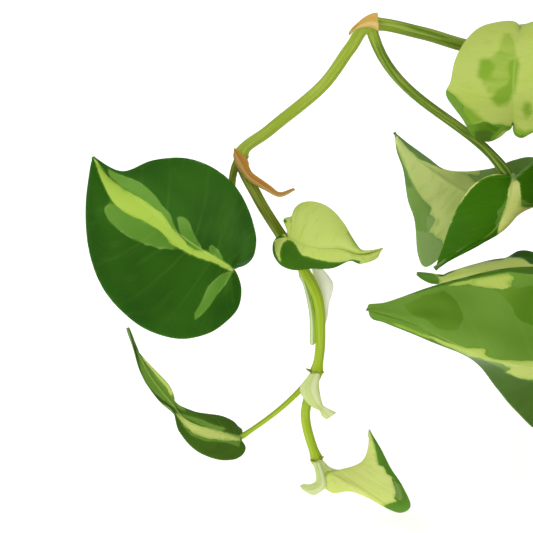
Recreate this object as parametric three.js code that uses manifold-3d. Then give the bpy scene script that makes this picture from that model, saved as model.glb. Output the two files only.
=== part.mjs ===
// A cream splash philodendron: a trailing house plant with heart-shaped leaves, growing in a plain clay pot.
// Millimetres, +Z up. The origin is the middle of the pot's flat underside.
// The plant is nine vines that root in the soil. Each leaf, with its stalk, is one solid, each vine's stem is
// another, and so is each sheath that wrapped a leaf before it opened.
import * as THREE from "three";
import Module from "manifold-3d";

const wasm = await Module();
wasm.setup();

// Driving sizes
const POT_HEIGHT = 124;
const POT_RIM_RADIUS = 70;
const POT_FOOT_RADIUS = 48;
const POT_WALL = 5;
const RIM_DEPTH = 30;
const RIM_STEP = 3.5;
const DRAIN_RADIUS = 5;
const DRAIN_RING = 26;
const DRAINS = 3;
const SOIL_BELOW_RIM = 17;
const SOIL_CRUMB = 1.6;
const GAP = 0.3;
const SLIVER = 0.01;
const BLADE_THICKNESS = 0.7;
const STALK_SIDES = 5;
const STALK_STEPS = 4;
const STALK_RUN = 0.25;
const STEM_SIDES = 6;
const STEM_STEP = 13;
const NODE_SWELL = 0.3;
const NODE_REACH = 4;

// Colours
const PAINT = {
  green: { color: 0x3b7a24, roughness: 0.45 },
  cream: { color: 0xb9cf62, roughness: 0.45 },
  stem: { color: 0x8fae3c, roughness: 0.5 },
  husk: { color: 0xb9793a, roughness: 0.8 },
  sheath: { color: 0xd3dfa0, roughness: 0.55 },
  soil: { color: 0x3a2b20, roughness: 1 },
  clay: { color: 0xb8674a, roughness: 0.85 },
};

const vec = (p) => new THREE.Vector3(...p);
const mix = (a, b, t) => a + (b - a) * t;
const radians = THREE.MathUtils.degToRad;

// Solids

// A closed BufferGeometry as a manifold-3d solid. Points closer than weld are drawn together, and the triangles
// that this closes up are left out.
function solid(geometry, weld = 1e-3) {
  const place = geometry.getAttribute("position");
  const points = Array.from({ length: place.count }, (_, i) => new THREE.Vector3().fromBufferAttribute(place, i));
  const same = [];
  points.forEach((p, i) => {
    const first = points.findIndex((q) => q.distanceToSquared(p) < weld ** 2);
    same.push(first < i ? same[first] : i);
  });
  const corners = Array.from(geometry.index.array, (i) => same[i]);
  const kept = [];
  for (let i = 0; i < corners.length; i += 3) {
    const [a, b, c] = corners.slice(i, i + 3);
    if (a !== b && b !== c && c !== a) kept.push(a, b, c);
  }
  return new wasm.Manifold(
    new wasm.Mesh({
      numProp: 3,
      vertProperties: new Float32Array(points.flatMap((p) => p.toArray())),
      triVerts: new Uint32Array(kept),
    }),
  );
}

// A manifold-3d solid as a BufferGeometry.
function geometryOf(made) {
  const mesh = made.getMesh();
  return new THREE.BufferGeometry()
    .setAttribute("position", new THREE.BufferAttribute(mesh.vertProperties, mesh.numProp))
    .setIndex(new THREE.BufferAttribute(mesh.triVerts, 1));
}

function indexed(points, triangles) {
  return new THREE.BufferGeometry()
    .setAttribute("position", new THREE.Float32BufferAttribute(points.flatMap((p) => p.toArray()), 3))
    .setIndex(triangles.flat());
}

// A round tube with a radius of its own at each point of its path, closed by a flat end at each side.
function tube(path, radii, sides) {
  const points = [];
  const triangles = [];
  const ahead = path.map((p, i) => path[Math.min(i + 1, path.length - 1)].clone().sub(path[Math.max(i - 1, 0)]));
  ahead.forEach((d) => d.normalize());
  const across = new THREE.Vector3(0.31, 0.87, 0.22).cross(ahead[0]).normalize();
  path.forEach((centre, i) => {
    across.addScaledVector(ahead[i], -across.dot(ahead[i])).normalize();
    const up = ahead[i].clone().cross(across);
    for (let k = 0; k < sides; k++) {
      const turn = (2 * Math.PI * k) / sides;
      const spoke = across.clone().multiplyScalar(Math.cos(turn)).addScaledVector(up, Math.sin(turn));
      points.push(centre.clone().addScaledVector(spoke, radii[i]));
    }
  });
  const last = (path.length - 1) * sides;
  for (let i = 0; i < path.length - 1; i++) {
    for (let k = 0; k < sides; k++) {
      const a = i * sides + k;
      const b = i * sides + ((k + 1) % sides);
      triangles.push([a, b, b + sides], [a, b + sides, a + sides]);
    }
  }
  for (let k = 1; k < sides - 1; k++) {
    triangles.push([0, k + 1, k], [last, last + k, last + k + 1]);
  }
  return solid(indexed(points, triangles));
}

// Blades

// Half of a flat blade's outline, in lengths of its midrib: three cubic curves that run from the stalk round the
// lobe, along the side and out to the drip tip. SHARES says which share of the way each curve ends at. FULLER
// says how much further out and how much wider the last curve runs when a blade's full is 1.
const OUTLINE = [
  [[0, 0], [-0.11, 0.01], [-0.17, 0.1], [-0.17, 0.24]],
  [[-0.17, 0.24], [-0.17, 0.43], [0.02, 0.56], [0.26, 0.56]],
  [[0.26, 0.56], [0.56, 0.56], [0.8, 0.08], [1, 0]],
];
const FULLER = [0.3, 1.1];
const SHARES = [0, 0.18, 0.48, 1];
const HALF_WIDTH = 0.56;
const VEIN_START = 0.24;
const VEIN_BUNCHING = 1.6;

const cubic = (p, t) =>
  [0, 1].map(
    (k) =>
      p[0][k] * (1 - t) ** 3 + 3 * p[1][k] * t * (1 - t) ** 2 + 3 * p[2][k] * t ** 2 * (1 - t) + p[3][k] * t ** 3,
  );

// The flat place of a point on side vein number a (0 at the stalk, 1 at the tip), a share v of the way from the
// midrib to the edge. The vein leaves the midrib steeply and bows towards the tip.
function flat(a, v, full) {
  const part = a < SHARES[1] ? 0 : a < SHARES[2] ? 1 : 2;
  const t = (a - SHARES[part]) / (SHARES[part + 1] - SHARES[part]);
  const edge = cubic(OUTLINE[part], t);
  if (part === 2) {
    edge[0] += FULLER[0] * full * t * t * (1 - t);
    edge[1] *= Math.exp(FULLER[1] * full * t * t);
  }
  const start = Math.max(0, (a - VEIN_START) / (1 - VEIN_START)) ** VEIN_BUNCHING;
  const bow = [start + 0.3 * (edge[0] - start), 0.6 * edge[1]];
  const share = [(1 - v) ** 2, 2 * v * (1 - v), v ** 2];
  return [share[0] * start + share[1] * bow[0] + share[2] * edge[0], share[1] * bow[1] + share[2] * edge[1]];
}

// A leaf's midrib is a cubic curve through rib. Its face turns from face[0] at the stalk to face[1] at the tip.
function midrib(leaf) {
  const [base, tip] = [vec(leaf.rib[0]), vec(leaf.rib[3])];
  return { curve: new THREE.CubicBezierCurve3(...leaf.rib.map(vec)), length: tip.distanceTo(base) };
}

// The place, direction, left and facing of the midrib a share s of the way to the tip.
function ribFrame(leaf, rib, s) {
  const ahead = rib.curve.getTangent(s);
  const facing = vec(leaf.face[0]).lerp(vec(leaf.face[1]), s);
  const left = facing.cross(ahead).normalize();
  return { place: rib.curve.getPoint(s), ahead, left, up: ahead.clone().cross(left) };
}

// A point of the blade's middle surface. The half blade on side (1 left, -1 right) leaves the midrib at the fold
// angle, which changes evenly from base to tip, and bends on by curl over a full half width. A leaf gives width,
// lobe and curl for its left half and for its right half.
function bladePoint(leaf, rib, a, v, side) {
  const half = side > 0 ? 0 : 1;
  const [x, y] = flat(a, v, leaf.full[half]);
  const s = Math.max(x, 0);
  const { place, left, up } = ribFrame(leaf, rib, s);
  if (x < 0) place.addScaledVector(rib.curve.getTangent(0), x * leaf.lobe[half] * rib.length);
  const fold = radians(mix(leaf.fold[0], leaf.fold[1], s));
  const curl = radians(leaf.curl[half]);
  const reach = HALF_WIDTH * leaf.width[half] * rib.length;
  const angle = fold + (curl * y) / HALF_WIDTH;
  const out = (reach / curl) * (Math.sin(angle) - Math.sin(fold));
  const rise = (reach / curl) * (Math.cos(fold) - Math.cos(angle));
  const wave = leaf.wave[0] * v * v * Math.sin(2 * Math.PI * (leaf.wave[1] * a + side * 0.2));
  return place.addScaledVector(left, side * out).addScaledVector(up, rise + wave);
}

// Where the grid's lines run in the solid
const VEINS = [0, 0.09, 0.18, 0.29, 0.4, 0.52, 0.66, 0.83, 1];
const ROWS = [0, 0.5, 1];

// A blade as a closed sheet: one triangulation, moved half the thickness to each side along the surface's normals,
// with a strip round the edge.
function bladeSolid(leaf, rib) {
  const places = [];
  const index = new Map();
  const triangles = [];
  const corner = (a, v, side) => {
    const [x, y] = flat(a, v, 0);
    const key = [x, side * y].map((k) => Math.round(k * 1e4) + 0).join(" ");
    if (!index.has(key)) {
      index.set(key, places.length);
      places.push(bladePoint(leaf, rib, a, v, side));
    }
    return index.get(key);
  };
  for (const side of [1, -1]) {
    for (let i = 0; i < VEINS.length - 1; i++) {
      for (let j = 0; j < ROWS.length - 1; j++) {
        const p = corner(VEINS[i], ROWS[j], side);
        const q = corner(VEINS[i + 1], ROWS[j], side);
        const r = corner(VEINS[i + 1], ROWS[j + 1], side);
        const s = corner(VEINS[i], ROWS[j + 1], side);
        for (const t of [[p, q, r], [p, r, s]]) {
          if (new Set(t).size === 3) triangles.push(side > 0 ? t : [t[0], t[2], t[1]]);
        }
      }
    }
  }
  return thicken(places, triangles, BLADE_THICKNESS);
}

// A sheet of triangles as a closed solid of that thickness.
function thicken(places, triangles, thickness) {
  const normals = places.map(() => new THREE.Vector3());
  for (const [a, b, c] of triangles) {
    const n = places[b].clone().sub(places[a]).cross(places[c].clone().sub(places[a]));
    [a, b, c].forEach((k) => normals[k].add(n));
  }
  normals.forEach((n) => n.normalize());
  const shift = (p, i, by) => p.clone().addScaledVector(normals[i], by * thickness);
  const points = [...places.map((p, i) => shift(p, i, 0.5)), ...places.map((p, i) => shift(p, i, -0.5))];
  const n = places.length;
  const faces = [];
  const edges = new Map();
  for (const [a, b, c] of triangles) {
    faces.push([a, b, c], [a + n, c + n, b + n]);
    for (const [p, q] of [[a, b], [b, c], [c, a]]) {
      if (edges.has(`${q} ${p}`)) edges.delete(`${q} ${p}`);
      else edges.set(`${p} ${q}`, [p, q]);
    }
  }
  for (const [p, q] of edges.values()) {
    faces.push([p, p + n, q + n], [p, q + n, q]);
  }
  return solid(indexed(points, faces));
}

// Stalks

// The stalk's line: out of the stem at its joint, and into the blade along the vector arrive or else from beneath
// at the angle meet, which is counted from the tip's direction.
function stalkCurve(leaf, rib, root) {
  const base = vec(leaf.rib[0]);
  const { ahead, up } = ribFrame(leaf, rib, 0);
  const meet = radians(leaf.meet ?? 0);
  const beneath = ahead.multiplyScalar(Math.cos(meet)).addScaledVector(up, Math.sin(meet));
  const arrive = leaf.arrive ? vec(leaf.arrive).normalize() : beneath;
  const span = base.distanceTo(root);
  return new THREE.CubicBezierCurve3(
    root,
    root.clone().addScaledVector(vec(leaf.leave).normalize(), span * 0.4),
    base.clone().addScaledVector(arrive, -span * 0.35),
    base,
  );
}

// A blade with its stalk, which thins from stalk[0] to stalk[1] and runs on under the midrib for a share STALK_RUN
// of its length.
function leafSolid(leaf, root, stemBody) {
  const rib = midrib(leaf);
  const line = stalkCurve(leaf, rib, root);
  const path = [];
  const radii = [];
  for (let i = 0; i <= STALK_STEPS; i++) {
    const t = i / STALK_STEPS;
    path.push(line.getPoint(t).addScaledVector(ribFrame(leaf, rib, 0).up, -0.6 * leaf.stalk[1] * t ** 4));
    radii.push(mix(leaf.stalk[0], leaf.stalk[1], t) * (1 + 0.35 * (1 - t) ** 6));
  }
  const under = ribFrame(leaf, rib, STALK_RUN);
  path.push(under.place.addScaledVector(under.up, -0.38 * leaf.stalk[1]));
  radii.push(leaf.stalk[1] * 0.5);
  const whole = bladeSolid(leaf, rib).add(tube(path, radii, STALK_SIDES)).subtract(stemBody);
  return largest(whole);
}

// The largest piece of a solid that a cut has parted, without the slivers that the cut left.
function largest(made) {
  const piece = made.decompose().sort((a, b) => b.volume() - a.volume())[0];
  return solid(geometryOf(piece.simplify(SLIVER)), SLIVER);
}

// Vines

// A vine is a smooth line through its points. joints lists the points, counted from 0, that leaves grow from.
function vinePath(vine) {
  const spline = new THREE.CatmullRomCurve3(vine.points.map(vec), false, "catmullrom", 0.5);
  const spans = vine.points.length - 1;
  const shares = [0];
  for (let k = 0; k < spans; k++) {
    const from = vec(vine.points[k]);
    const size = from.distanceTo(vec(vine.points[k + 1]));
    const inset = NODE_REACH / size;
    const first = vine.joints.includes(k) ? inset : 0;
    const final = vine.joints.includes(k + 1) ? 1 - inset : 1;
    const steps = Math.max(1, Math.round(((final - first) * size) / STEM_STEP));
    if (first > 0) shares.push(k + first);
    for (let j = 1; j <= steps; j++) shares.push(k + mix(first, final, j / steps));
    if (final < 1) shares.push(k + 1);
  }
  return shares.map((t) => {
    const joint = vine.joints.includes(t) ? 1 + NODE_SWELL : 1;
    return { place: spline.getPoint(t / spans), radius: mix(vine.radius[0], vine.radius[1], t / spans) * joint };
  });
}

function stemSolid(path) {
  return tube(path.map((p) => p.place), path.map((p) => p.radius), STEM_SIDES);
}

// The stem with the gap round it, which holes and cuts are made with. It runs on past both ends.
function sleeveSolid(path) {
  const wider = path.map((p) => ({ place: p.place.clone(), radius: p.radius + GAP }));
  const runOn = (end, next) => end.place.add(end.place.clone().sub(next.place).setLength(GAP));
  runOn(wider[0], wider[1]);
  runOn(wider[wider.length - 1], wider[wider.length - 2]);
  return stemSolid(wider);
}

// A sheath: a narrow strip that is rolled about its middle line, widest a third of the way along.
function sheathSolid(sheath) {
  const curve = new THREE.CubicBezierCurve3(...sheath.rib.map(vec));
  const steps = 6;
  const columns = 4;
  const places = [];
  const triangles = [];
  for (let i = 0; i <= steps; i++) {
    const s = i / steps;
    const ahead = curve.getTangent(s);
    const facing = vec(sheath.face[0]).normalize().lerp(vec(sheath.face[1]).normalize(), s);
    const left = facing.cross(ahead).normalize();
    const up = ahead.clone().cross(left);
    const half = sheath.half * (s < 0.35 ? mix(0.7, 1, s / 0.35) : mix(1, 0.12, ((s - 0.35) / 0.65) ** 1.4));
    const roll = radians(mix(sheath.roll[0], sheath.roll[1], s));
    for (let j = 0; j <= columns; j++) {
      const angle = roll * ((2 * j) / columns - 1);
      const out = (half / roll) * Math.sin(angle);
      const rise = (half / roll) * (1 - Math.cos(angle));
      places.push(curve.getPoint(s).addScaledVector(left, out).addScaledVector(up, rise));
    }
  }
  for (let i = 0; i < steps; i++) {
    for (let j = 0; j < columns; j++) {
      const p = i * (columns + 1) + j;
      const q = p + columns + 1;
      triangles.push([p, q, q + 1], [p, q + 1, p + 1]);
    }
  }
  return thicken(places, triangles, sheath.thickness);
}

// Pot and soil

const turned = (profile, sectors) =>
  new THREE.LatheGeometry(profile.map(([r, z]) => new THREE.Vector2(r, z)), sectors).rotateX(Math.PI / 2);

const POT_SECTORS = 36;
const innerRadius = (z) => mix(POT_FOOT_RADIUS, POT_RIM_RADIUS - RIM_STEP, z / POT_HEIGHT) - POT_WALL;

function potSolid() {
  const step = POT_HEIGHT - RIM_DEPTH;
  const body = (z) => innerRadius(z) + POT_WALL;
  const profile = [
    [0, 0],
    [POT_FOOT_RADIUS - 2, 0],
    [body(2), 2],
    [body(step), step],
    [POT_RIM_RADIUS - 2, step + 1],
    [POT_RIM_RADIUS - 1, step + 3],
    [POT_RIM_RADIUS, POT_HEIGHT - 3],
    [POT_RIM_RADIUS - 1.5, POT_HEIGHT],
    [innerRadius(POT_HEIGHT) + 1.5, POT_HEIGHT],
    [innerRadius(POT_HEIGHT - 3), POT_HEIGHT - 3],
    [innerRadius(POT_WALL + 4), POT_WALL + 4],
    [innerRadius(POT_WALL) - 4, POT_WALL + 1],
    [0, POT_WALL + 1],
  ];
  let made = solid(turned(profile, POT_SECTORS));
  for (let k = 0; k < DRAINS; k++) {
    const angle = (2 * Math.PI * k) / DRAINS + 0.5;
    const hole = new THREE.CylinderGeometry(DRAIN_RADIUS, DRAIN_RADIUS, 4 * POT_WALL, 14).rotateX(Math.PI / 2);
    hole.translate(DRAIN_RING * Math.cos(angle), DRAIN_RING * Math.sin(angle), 0);
    made = made.subtract(solid(hole));
  }
  return made;
}

// The soil fills the pot's inside but for a thin gap. Its top is crumbly, and each vine stands in a hole of its own.
function soilSolid(holes) {
  const top = POT_HEIGHT - SOIL_BELOW_RIM;
  const rings = [0, 0.25, 0.5, 0.75, 1];
  const profile = rings.map((k) => [k * (innerRadius(top) - GAP), top]).reverse();
  profile.unshift([0, POT_WALL + 1 + GAP], [innerRadius(POT_WALL) - 4.4, POT_WALL + 1 + GAP]);
  profile.splice(2, 0, [innerRadius(POT_WALL + 4.3) - GAP, POT_WALL + 4.3]);
  const shape = turned(profile, POT_SECTORS);
  const place = shape.attributes.position;
  for (let i = 0; i < place.count; i++) {
    const [x, y, z] = [place.getX(i), place.getY(i), place.getZ(i)];
    const inside = 1 - (Math.hypot(x, y) / innerRadius(top)) ** 8;
    const bump = Math.sin(0.31 * x + 0.9) * Math.cos(0.27 * y - 0.4) + 0.7 * Math.sin(0.71 * x - 0.53 * y);
    if (z > top - 0.1) place.setZ(i, z + inside * (SOIL_CRUMB * bump + 2));
  }
  return holes.reduce((made, hole) => made.subtract(hole), solid(shape));
}

// Each vine: its points from inside the soil to its growing end, its joints, and its radius at both ends.
const VINES = {
  a: {
    points: [
      [-26, -4, 78], [-29, -5, 110], [-44, -11, 158], [-88, -19, 192], [-109, -23, 198], [-126, -25, 203.5],
      [-143.5, -25, 207], [-153.5, -25.7, 195.7], [-164.6, -31.2, 181.9], [-184.6, -36.3, 166.1],
      [-195.7, -38.5, 156.2], [-187.4, -41.6, 140.3], [-176.2, -45, 123.4], [-167.5, -47.4, 103.1],
      [-166.1, -50.4, 71.1], [-170.5, -52, 53],
      [-166, -54, 35], [-163.5, -55, 28.5],
    ],
    joints: [2, 3, 6, 10, 12, 14, 16],
    radius: [2.85, 1.55],
  },
  b: {
    points: [
      [-20, -32, 78], [-23, -36, 110], [-34, -56, 142], [-44, -72, 128], [-48, -86, 86], [-42, -102, 46],
      [-32, -118, 16],
    ],
    joints: [2, 3, 4, 5],
    radius: [2, 1.4],
  },
  c: {
    points: [
      [-24, 22, 78], [-27, 25, 110], [-44, 34, 152], [-44, 60, 150], [-40, 84, 118], [-36, 98, 76],
      [-30, 110, 38],
    ],
    joints: [2, 3, 4, 5],
    radius: [2, 1.4],
  },
  d: {
    points: [
      [2, -38, 78], [3, -44, 110], [10, -66, 144], [16, -92, 120], [18, -100, 80], [14, -106, 44],
      [4, -116, 14],
    ],
    joints: [2, 3, 4, 5],
    radius: [2, 1.4],
  },
  e: {
    points: [
      [24, -26, 78], [28, -31, 110], [52, -52, 152], [84, -70, 142], [102, -82, 104], [106, -90, 64],
      [114, -102, 28],
    ],
    joints: [2, 3, 4, 5],
    radius: [2, 1.4],
  },
  f: {
    points: [
      [32, 2, 78], [36, 4, 110], [60, 8, 162], [98, 10, 182], [138, 6, 162], [166, 0, 124], [182, -10, 84],
      [196, -24, 44], [220, -40, 10], [252, -52, 4],
    ],
    joints: [2, 3, 4, 5, 6, 7],
    radius: [2.3, 1.4],
  },
  g: {
    points: [
      [22, 28, 78], [26, 33, 110], [46, 56, 148], [64, 82, 136], [74, 96, 98], [78, 104, 58],
      [86, 114, 24],
    ],
    joints: [2, 3, 4, 5],
    radius: [2, 1.4],
  },
  h: {
    points: [[0, 36, 78], [2, 42, 110], [12, 66, 146], [18, 90, 126], [20, 100, 84], [24, 106, 48]],
    joints: [2, 3, 4],
    radius: [2, 1.4],
  },
  i: {
    points: [[2, 2, 78], [3, 3, 110], [8, 6, 150], [2, 4, 186], [8, -4, 214]],
    joints: [2, 3, 4],
    radius: [2.2, 1.6],
  },
};

// The leaves that the photograph shows, point by point
const LEAVES = [
  {
    name: "leaf_01", vine: "a", joint: 10, leave: [-0.6, 0.1, -0.8], meet: 70, stalk: [1.5, 1.2],
    rib: [[-199.4, -52, 114.5], [-215, -50, 123.3], [-237, -46, 137.5], [-253.7, -38, 155.5]],
    face: [[-0.37, -0.91, -0.19], [-0.37, -0.91, -0.19]],
    fold: [22, 14], curl: [-12, -12], width: [1.02, 1.12], lobe: [0.9, 0.1], full: [0.95, 0.45], wave: [0.6, 2],
  },
  {
    name: "leaf_02", vine: "a", joint: 12, leave: [-0.2, -1, 0.3], meet: 70, stalk: [1.2, 0.9],
    rib: [[-178, -54, 128], [-171, -60, 127], [-154, -60, 118], [-140.5, -54, 124]],
    face: [[0, -0.9, 0.5], [0, -0.9, 0.5]],
    fold: [10, 10], curl: [-20, -20], width: [0.85, 0.5], lobe: [0.6, 1], full: [0.3, 0], wave: [0.4, 2],
  },
  {
    name: "leaf_03", vine: "a", joint: 14, leave: [-0.62, -0.39, -0.68], arrive: [-0.83, -0.14, -0.55],
    stalk: [1.15, 1],
    rib: [[-196.5, -56, 44.7], [-214.3, -60, 52], [-226, -58, 55], [-240.3, -52, 90]],
    face: [[0, -0.8, 0.3], [-0.7, 0.9, -0.3]],
    fold: [30, 30], curl: [10, 10], width: [0.32, 0.28], lobe: [0.4, 0.5], full: [0.1, 0.5], wave: [0.2, 2],
  },
  {
    name: "leaf_04", vine: "a", joint: 16, leave: [0.6, -0.5, -0.3], meet: 60, stalk: [1, 0.8],
    rib: [[-152, -58, 26.5], [-150, -56, 32], [-146, -52, 38], [-143.8, -46, 43]],
    face: [[0, -0.8, 0.6], [0, -0.8, 0.6]],
    fold: [10, 10], curl: [20, 10], width: [0.75, 1.85], lobe: [0.4, 2.3], full: [-2.4, -1], wave: [0.3, 2],
  },
  {
    name: "leaf_05", vine: "a", joint: 6, leave: [-0.1, -0.06, -0.99], arrive: [0.54, -0.1, -0.83],
    stalk: [1.9, 2.1],
    rib: [[-89.5, -34, 146], [-89.3, -42, 132], [-100, -54, 119], [-121, -56, 116]],
    face: [[0.61, -0.75, 0.24], [0.49, -0.86, -0.11]],
    fold: [-16, -48], curl: [-10, -10], width: [0.7, 0.68], lobe: [0.6, 0.3], full: [0, 0.6], wave: [0.3, 2],
  },
  {
    name: "leaf_06", vine: "c", joint: 2, leave: [-0.8, -0.5, 0], meet: 60, stalk: [1.6, 1.2],
    rib: [[-88.5, -4, 124.7], [-104, -14, 137.3], [-122.7, -18, 149.7], [-135, -14, 159]],
    face: [[-0.32, 0.63, -0.7], [-0.32, 0.63, -0.7]],
    fold: [25, 75], curl: [-10, -10], width: [0.9, 1.12], lobe: [1, 0.4], full: [-0.8, -0.4], wave: [0.5, 2],
  },
  {
    name: "leaf_07", vine: "a", joint: 3, leave: [0, -0.4, -1], meet: 70, stalk: [1.6, 1.3],
    rib: [[-90.4, -38, 169.6], [-92.2, -48, 186.2], [-91, -48, 214], [-86, -27, 208]],
    face: [[0, -0.9, 0.3], [0, 0.2, 1]],
    fold: [8, 8], curl: [10, 10], width: [1.16, 1.1], lobe: [0.9, 0.4], full: [1, 1], wave: [0.8, 2],
  },
  {
    name: "leaf_08", vine: "b", joint: 3, leave: [0.2, 0.1, -1], meet: 70, stalk: [1.7, 1.4],
    rib: [[-58, -95, 95], [-92, -102, 106], [-122, -100, 112], [-148.5, -88, 111]],
    face: [[-0.1, -0.95, 0.1], [-0.1, -0.95, 0.2]],
    fold: [-30, -70], curl: [-10, -10], width: [1.15, 0.6], lobe: [0.8, 0.8], full: [-1.8, 0.6], wave: [0.6, 2],
  },
  {
    name: "leaf_09", vine: "b", joint: 2, leave: [-1, 0.2, 0.5], meet: 30, stalk: [1.5, 1.2],
    rib: [[-70, -54, 117], [-89, -57, 116.5], [-112, -60, 114], [-128, -60, 115]],
    face: [[0, 0.15, 1], [0, 0.15, 1]],
    fold: [6, 6], curl: [-20, -20], width: [0.5, 0.85], lobe: [0.9, 0.9], full: [0.2, 0.2], wave: [0.6, 2],
  },
];

// A leaf from its measures. It grows from joint number joint of the vine, on a stalk that leads off towards the
// compass angle heading and upwards by climb. The blade points to the compass angle aim and downwards by dip, and
// leans to its left by lean. All angles are in degrees.
function grown(row, number) {
  const [vine, joint, stalk, heading, climb, aim, dip, lean, length] = row;
  let state = number * 7919 + 104729;
  const draw = (low, high) => {
    state = (state * 1664525 + 1013904223) % 4294967296;
    return mix(low, high, state / 4294967296);
  };
  const towards = (turn, up) => {
    const [t, u] = [radians(turn), radians(up)];
    return new THREE.Vector3(Math.cos(u) * Math.cos(t), Math.cos(u) * Math.sin(t), Math.sin(u));
  };
  const from = vec(VINES[vine].points[joint]);
  const leave = towards(heading, climb);
  const base = from.clone().addScaledVector(leave, stalk);
  const ahead = towards(aim, -dip);
  const facing = towards(aim, 90 - dip).applyAxisAngle(ahead, -radians(lean));
  const arch = [draw(0.03, 0.1), draw(0.05, 0.13)];
  const along = (s, lift) => base.clone().addScaledVector(ahead, s * length).addScaledVector(facing, lift * length);
  const sway = facing.clone().applyAxisAngle(ahead, radians(draw(-14, 14)));
  return {
    name: `leaf_${number}`, vine, joint, leave: leave.clone().add(new THREE.Vector3(0, 0, 0.25)).toArray(),
    meet: draw(45, 65), stalk: [1.7, 1.25],
    rib: [0, 1 / 3, 2 / 3, 1].map((s, k) => along(s, [0, ...arch, 0][k]).toArray()),
    face: [facing.toArray(), sway.toArray()], fold: [draw(8, 18), draw(4, 12)],
    curl: [draw(-32, -8), draw(-32, -8)], width: [draw(0.9, 1.05), draw(0.9, 1.05)],
    lobe: [draw(0.8, 1.1), draw(0.8, 1.1)], full: [draw(0.3, 0.8), draw(0.3, 0.8)],
    wave: [draw(0.5, 1.4), draw(1.5, 2.6)],
  };
}

// The leaves that the photograph leaves out: vine, joint, stalk, heading, climb, aim, dip, lean, length
const ROWS_OF_LEAVES = [
  ["a", 2, 36, 100, 60, 120, 20, 10, 66],
  ["b", 4, 28, 295, 10, 285, 60, 0, 56],
  ["b", 5, 24, 238, 0, 245, 30, 0, 44],
  ["c", 3, 38, 90, 60, 102, 20, 0, 68],
  ["c", 4, 34, 60, 10, 60, 60, 0, 62],
  ["c", 5, 28, 60, 0, 88, 45, 0, 50],
  ["d", 2, 40, 285, 45, 280, 40, 0, 74],
  ["d", 3, 38, 300, 20, 295, 60, 0, 68],
  ["d", 4, 32, 250, 5, 250, 55, 0, 60],
  ["d", 5, 26, 290, 0, 300, 30, 0, 46],
  ["e", 2, 42, 340, 50, 330, 15, 0, 76],
  ["e", 3, 38, 285, 20, 295, 60, 0, 70],
  ["e", 4, 32, 350, 0, 345, 50, 0, 62],
  ["e", 5, 26, 280, 0, 280, 40, 0, 50],
  ["f", 2, 42, 50, 65, 55, 10, 0, 74],
  ["f", 3, 40, 340, 35, 335, 35, 0, 74],
  ["f", 4, 38, 60, 20, 50, 50, 0, 72],
  ["f", 5, 34, 330, 5, 325, 60, 0, 66],
  ["f", 6, 30, 60, 0, 50, 50, 0, 58],
  ["f", 7, 26, 20, 20, 10, 30, 0, 46],
  ["g", 2, 40, 60, 50, 55, 15, 0, 72],
  ["g", 3, 38, 30, 20, 25, 50, 0, 70],
  ["g", 4, 32, 80, 0, 80, 60, 0, 60],
  ["g", 5, 26, 40, 0, 45, 35, 0, 48],
  ["h", 2, 40, 85, 35, 86, 32, 0, 68],
  ["h", 3, 36, 70, 10, 75, 60, 0, 62],
  ["h", 4, 30, 75, 0, 80, 60, 0, 50],
  ["i", 2, 44, 242, 45, 238, 25, 0, 74],
  ["i", 3, 40, 100, 45, 110, 20, 0, 74],
  ["i", 4, 30, 300, 50, 290, 10, 0, 56],
];
ROWS_OF_LEAVES.forEach((row) => LEAVES.push(grown(row, LEAVES.length + 1)));

// The sheaths that the photograph shows
const SHEATHS = [
  {
    name: "sheath_b", vine: "a", joint: 6, colour: "husk", thickness: 0.6, half: 4, roll: [70, 40],
    rib: [[-142, -29.5, 208.5], [-146, -31, 207], [-150, -32, 203.5], [-154, -33, 200]],
    face: [[0.2, 0.9, 0], [0.2, 0.9, -0.2]],
  },
  {
    name: "sheath_a", vine: "a", joint: 10, colour: "husk", thickness: 0.6, half: 3, roll: [70, 30],
    rib: [[-200, -41, 157], [-192, -43, 146], [-186, -44, 142], [-175, -44, 143]],
    face: [[0, 1, 0], [0, 0.2, 1]],
  },
  {
    name: "sheath_c", vine: "a", joint: 12, colour: "sheath", thickness: 0.6, half: 4.5, roll: [50, 30],
    rib: [[-172, -39, 118], [-166, -38, 108], [-162, -38, 98], [-168, -38, 84]],
    face: [[0, -1, 0], [0, -1, 0]],
  },
  {
    name: "sheath_d", vine: "a", joint: 14, colour: "sheath", thickness: 0.6, half: 4, roll: [60, 30],
    rib: [[-164, -55, 72], [-168, -56, 62], [-166, -57, 56], [-160, -58, 53]],
    face: [[0, 1, 0], [0, 1, 0]],
  },
  {
    name: "sheath_e", vine: "a", joint: 16, colour: "sheath", thickness: 0.6, half: 3, roll: [60, 30],
    rib: [[-163, -60, 36], [-165, -61, 30], [-168, -61, 25], [-174, -60, 22.5]],
    face: [[0, 1, 0], [0, 1, 0]],
  },
  {
    name: "sheath_f", vine: "a", joint: 16, colour: "sheath", thickness: 0.6, half: 3.6, roll: [60, 20],
    rib: [[-162, -63, 31], [-160, -64, 27], [-156, -64, 26], [-151, -63, 27]],
    face: [[0, 1, 0], [0, 1, 0.2]],
  },
];

// Assembly

const plant = new THREE.Group();
plant.name = "potted_philodendron";

function place(name, made, colour) {
  const mesh = new THREE.Mesh(geometryOf(made), new THREE.MeshStandardMaterial(PAINT[colour]));
  mesh.name = name;
  plant.add(mesh);
}

const paths = {};
const sleeves = {};
for (const [name, vine] of Object.entries(VINES)) {
  paths[name] = vinePath(vine);
  sleeves[name] = sleeveSolid(paths[name]);
  place(`stem_${name}`, stemSolid(paths[name]), "stem");
}
place("pot", potSolid(), "clay");
place("soil", soilSolid(Object.values(sleeves)), "soil");

for (const leaf of LEAVES) {
  const root = vec(VINES[leaf.vine].points[leaf.joint]);
  place(leaf.name, leafSolid(leaf, root, sleeves[leaf.vine]), "green");
}
for (const sheath of SHEATHS) {
  place(sheath.name, largest(sheathSolid(sheath).subtract(sleeves[sheath.vine])), sheath.colour);
}

export default plant;
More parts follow.
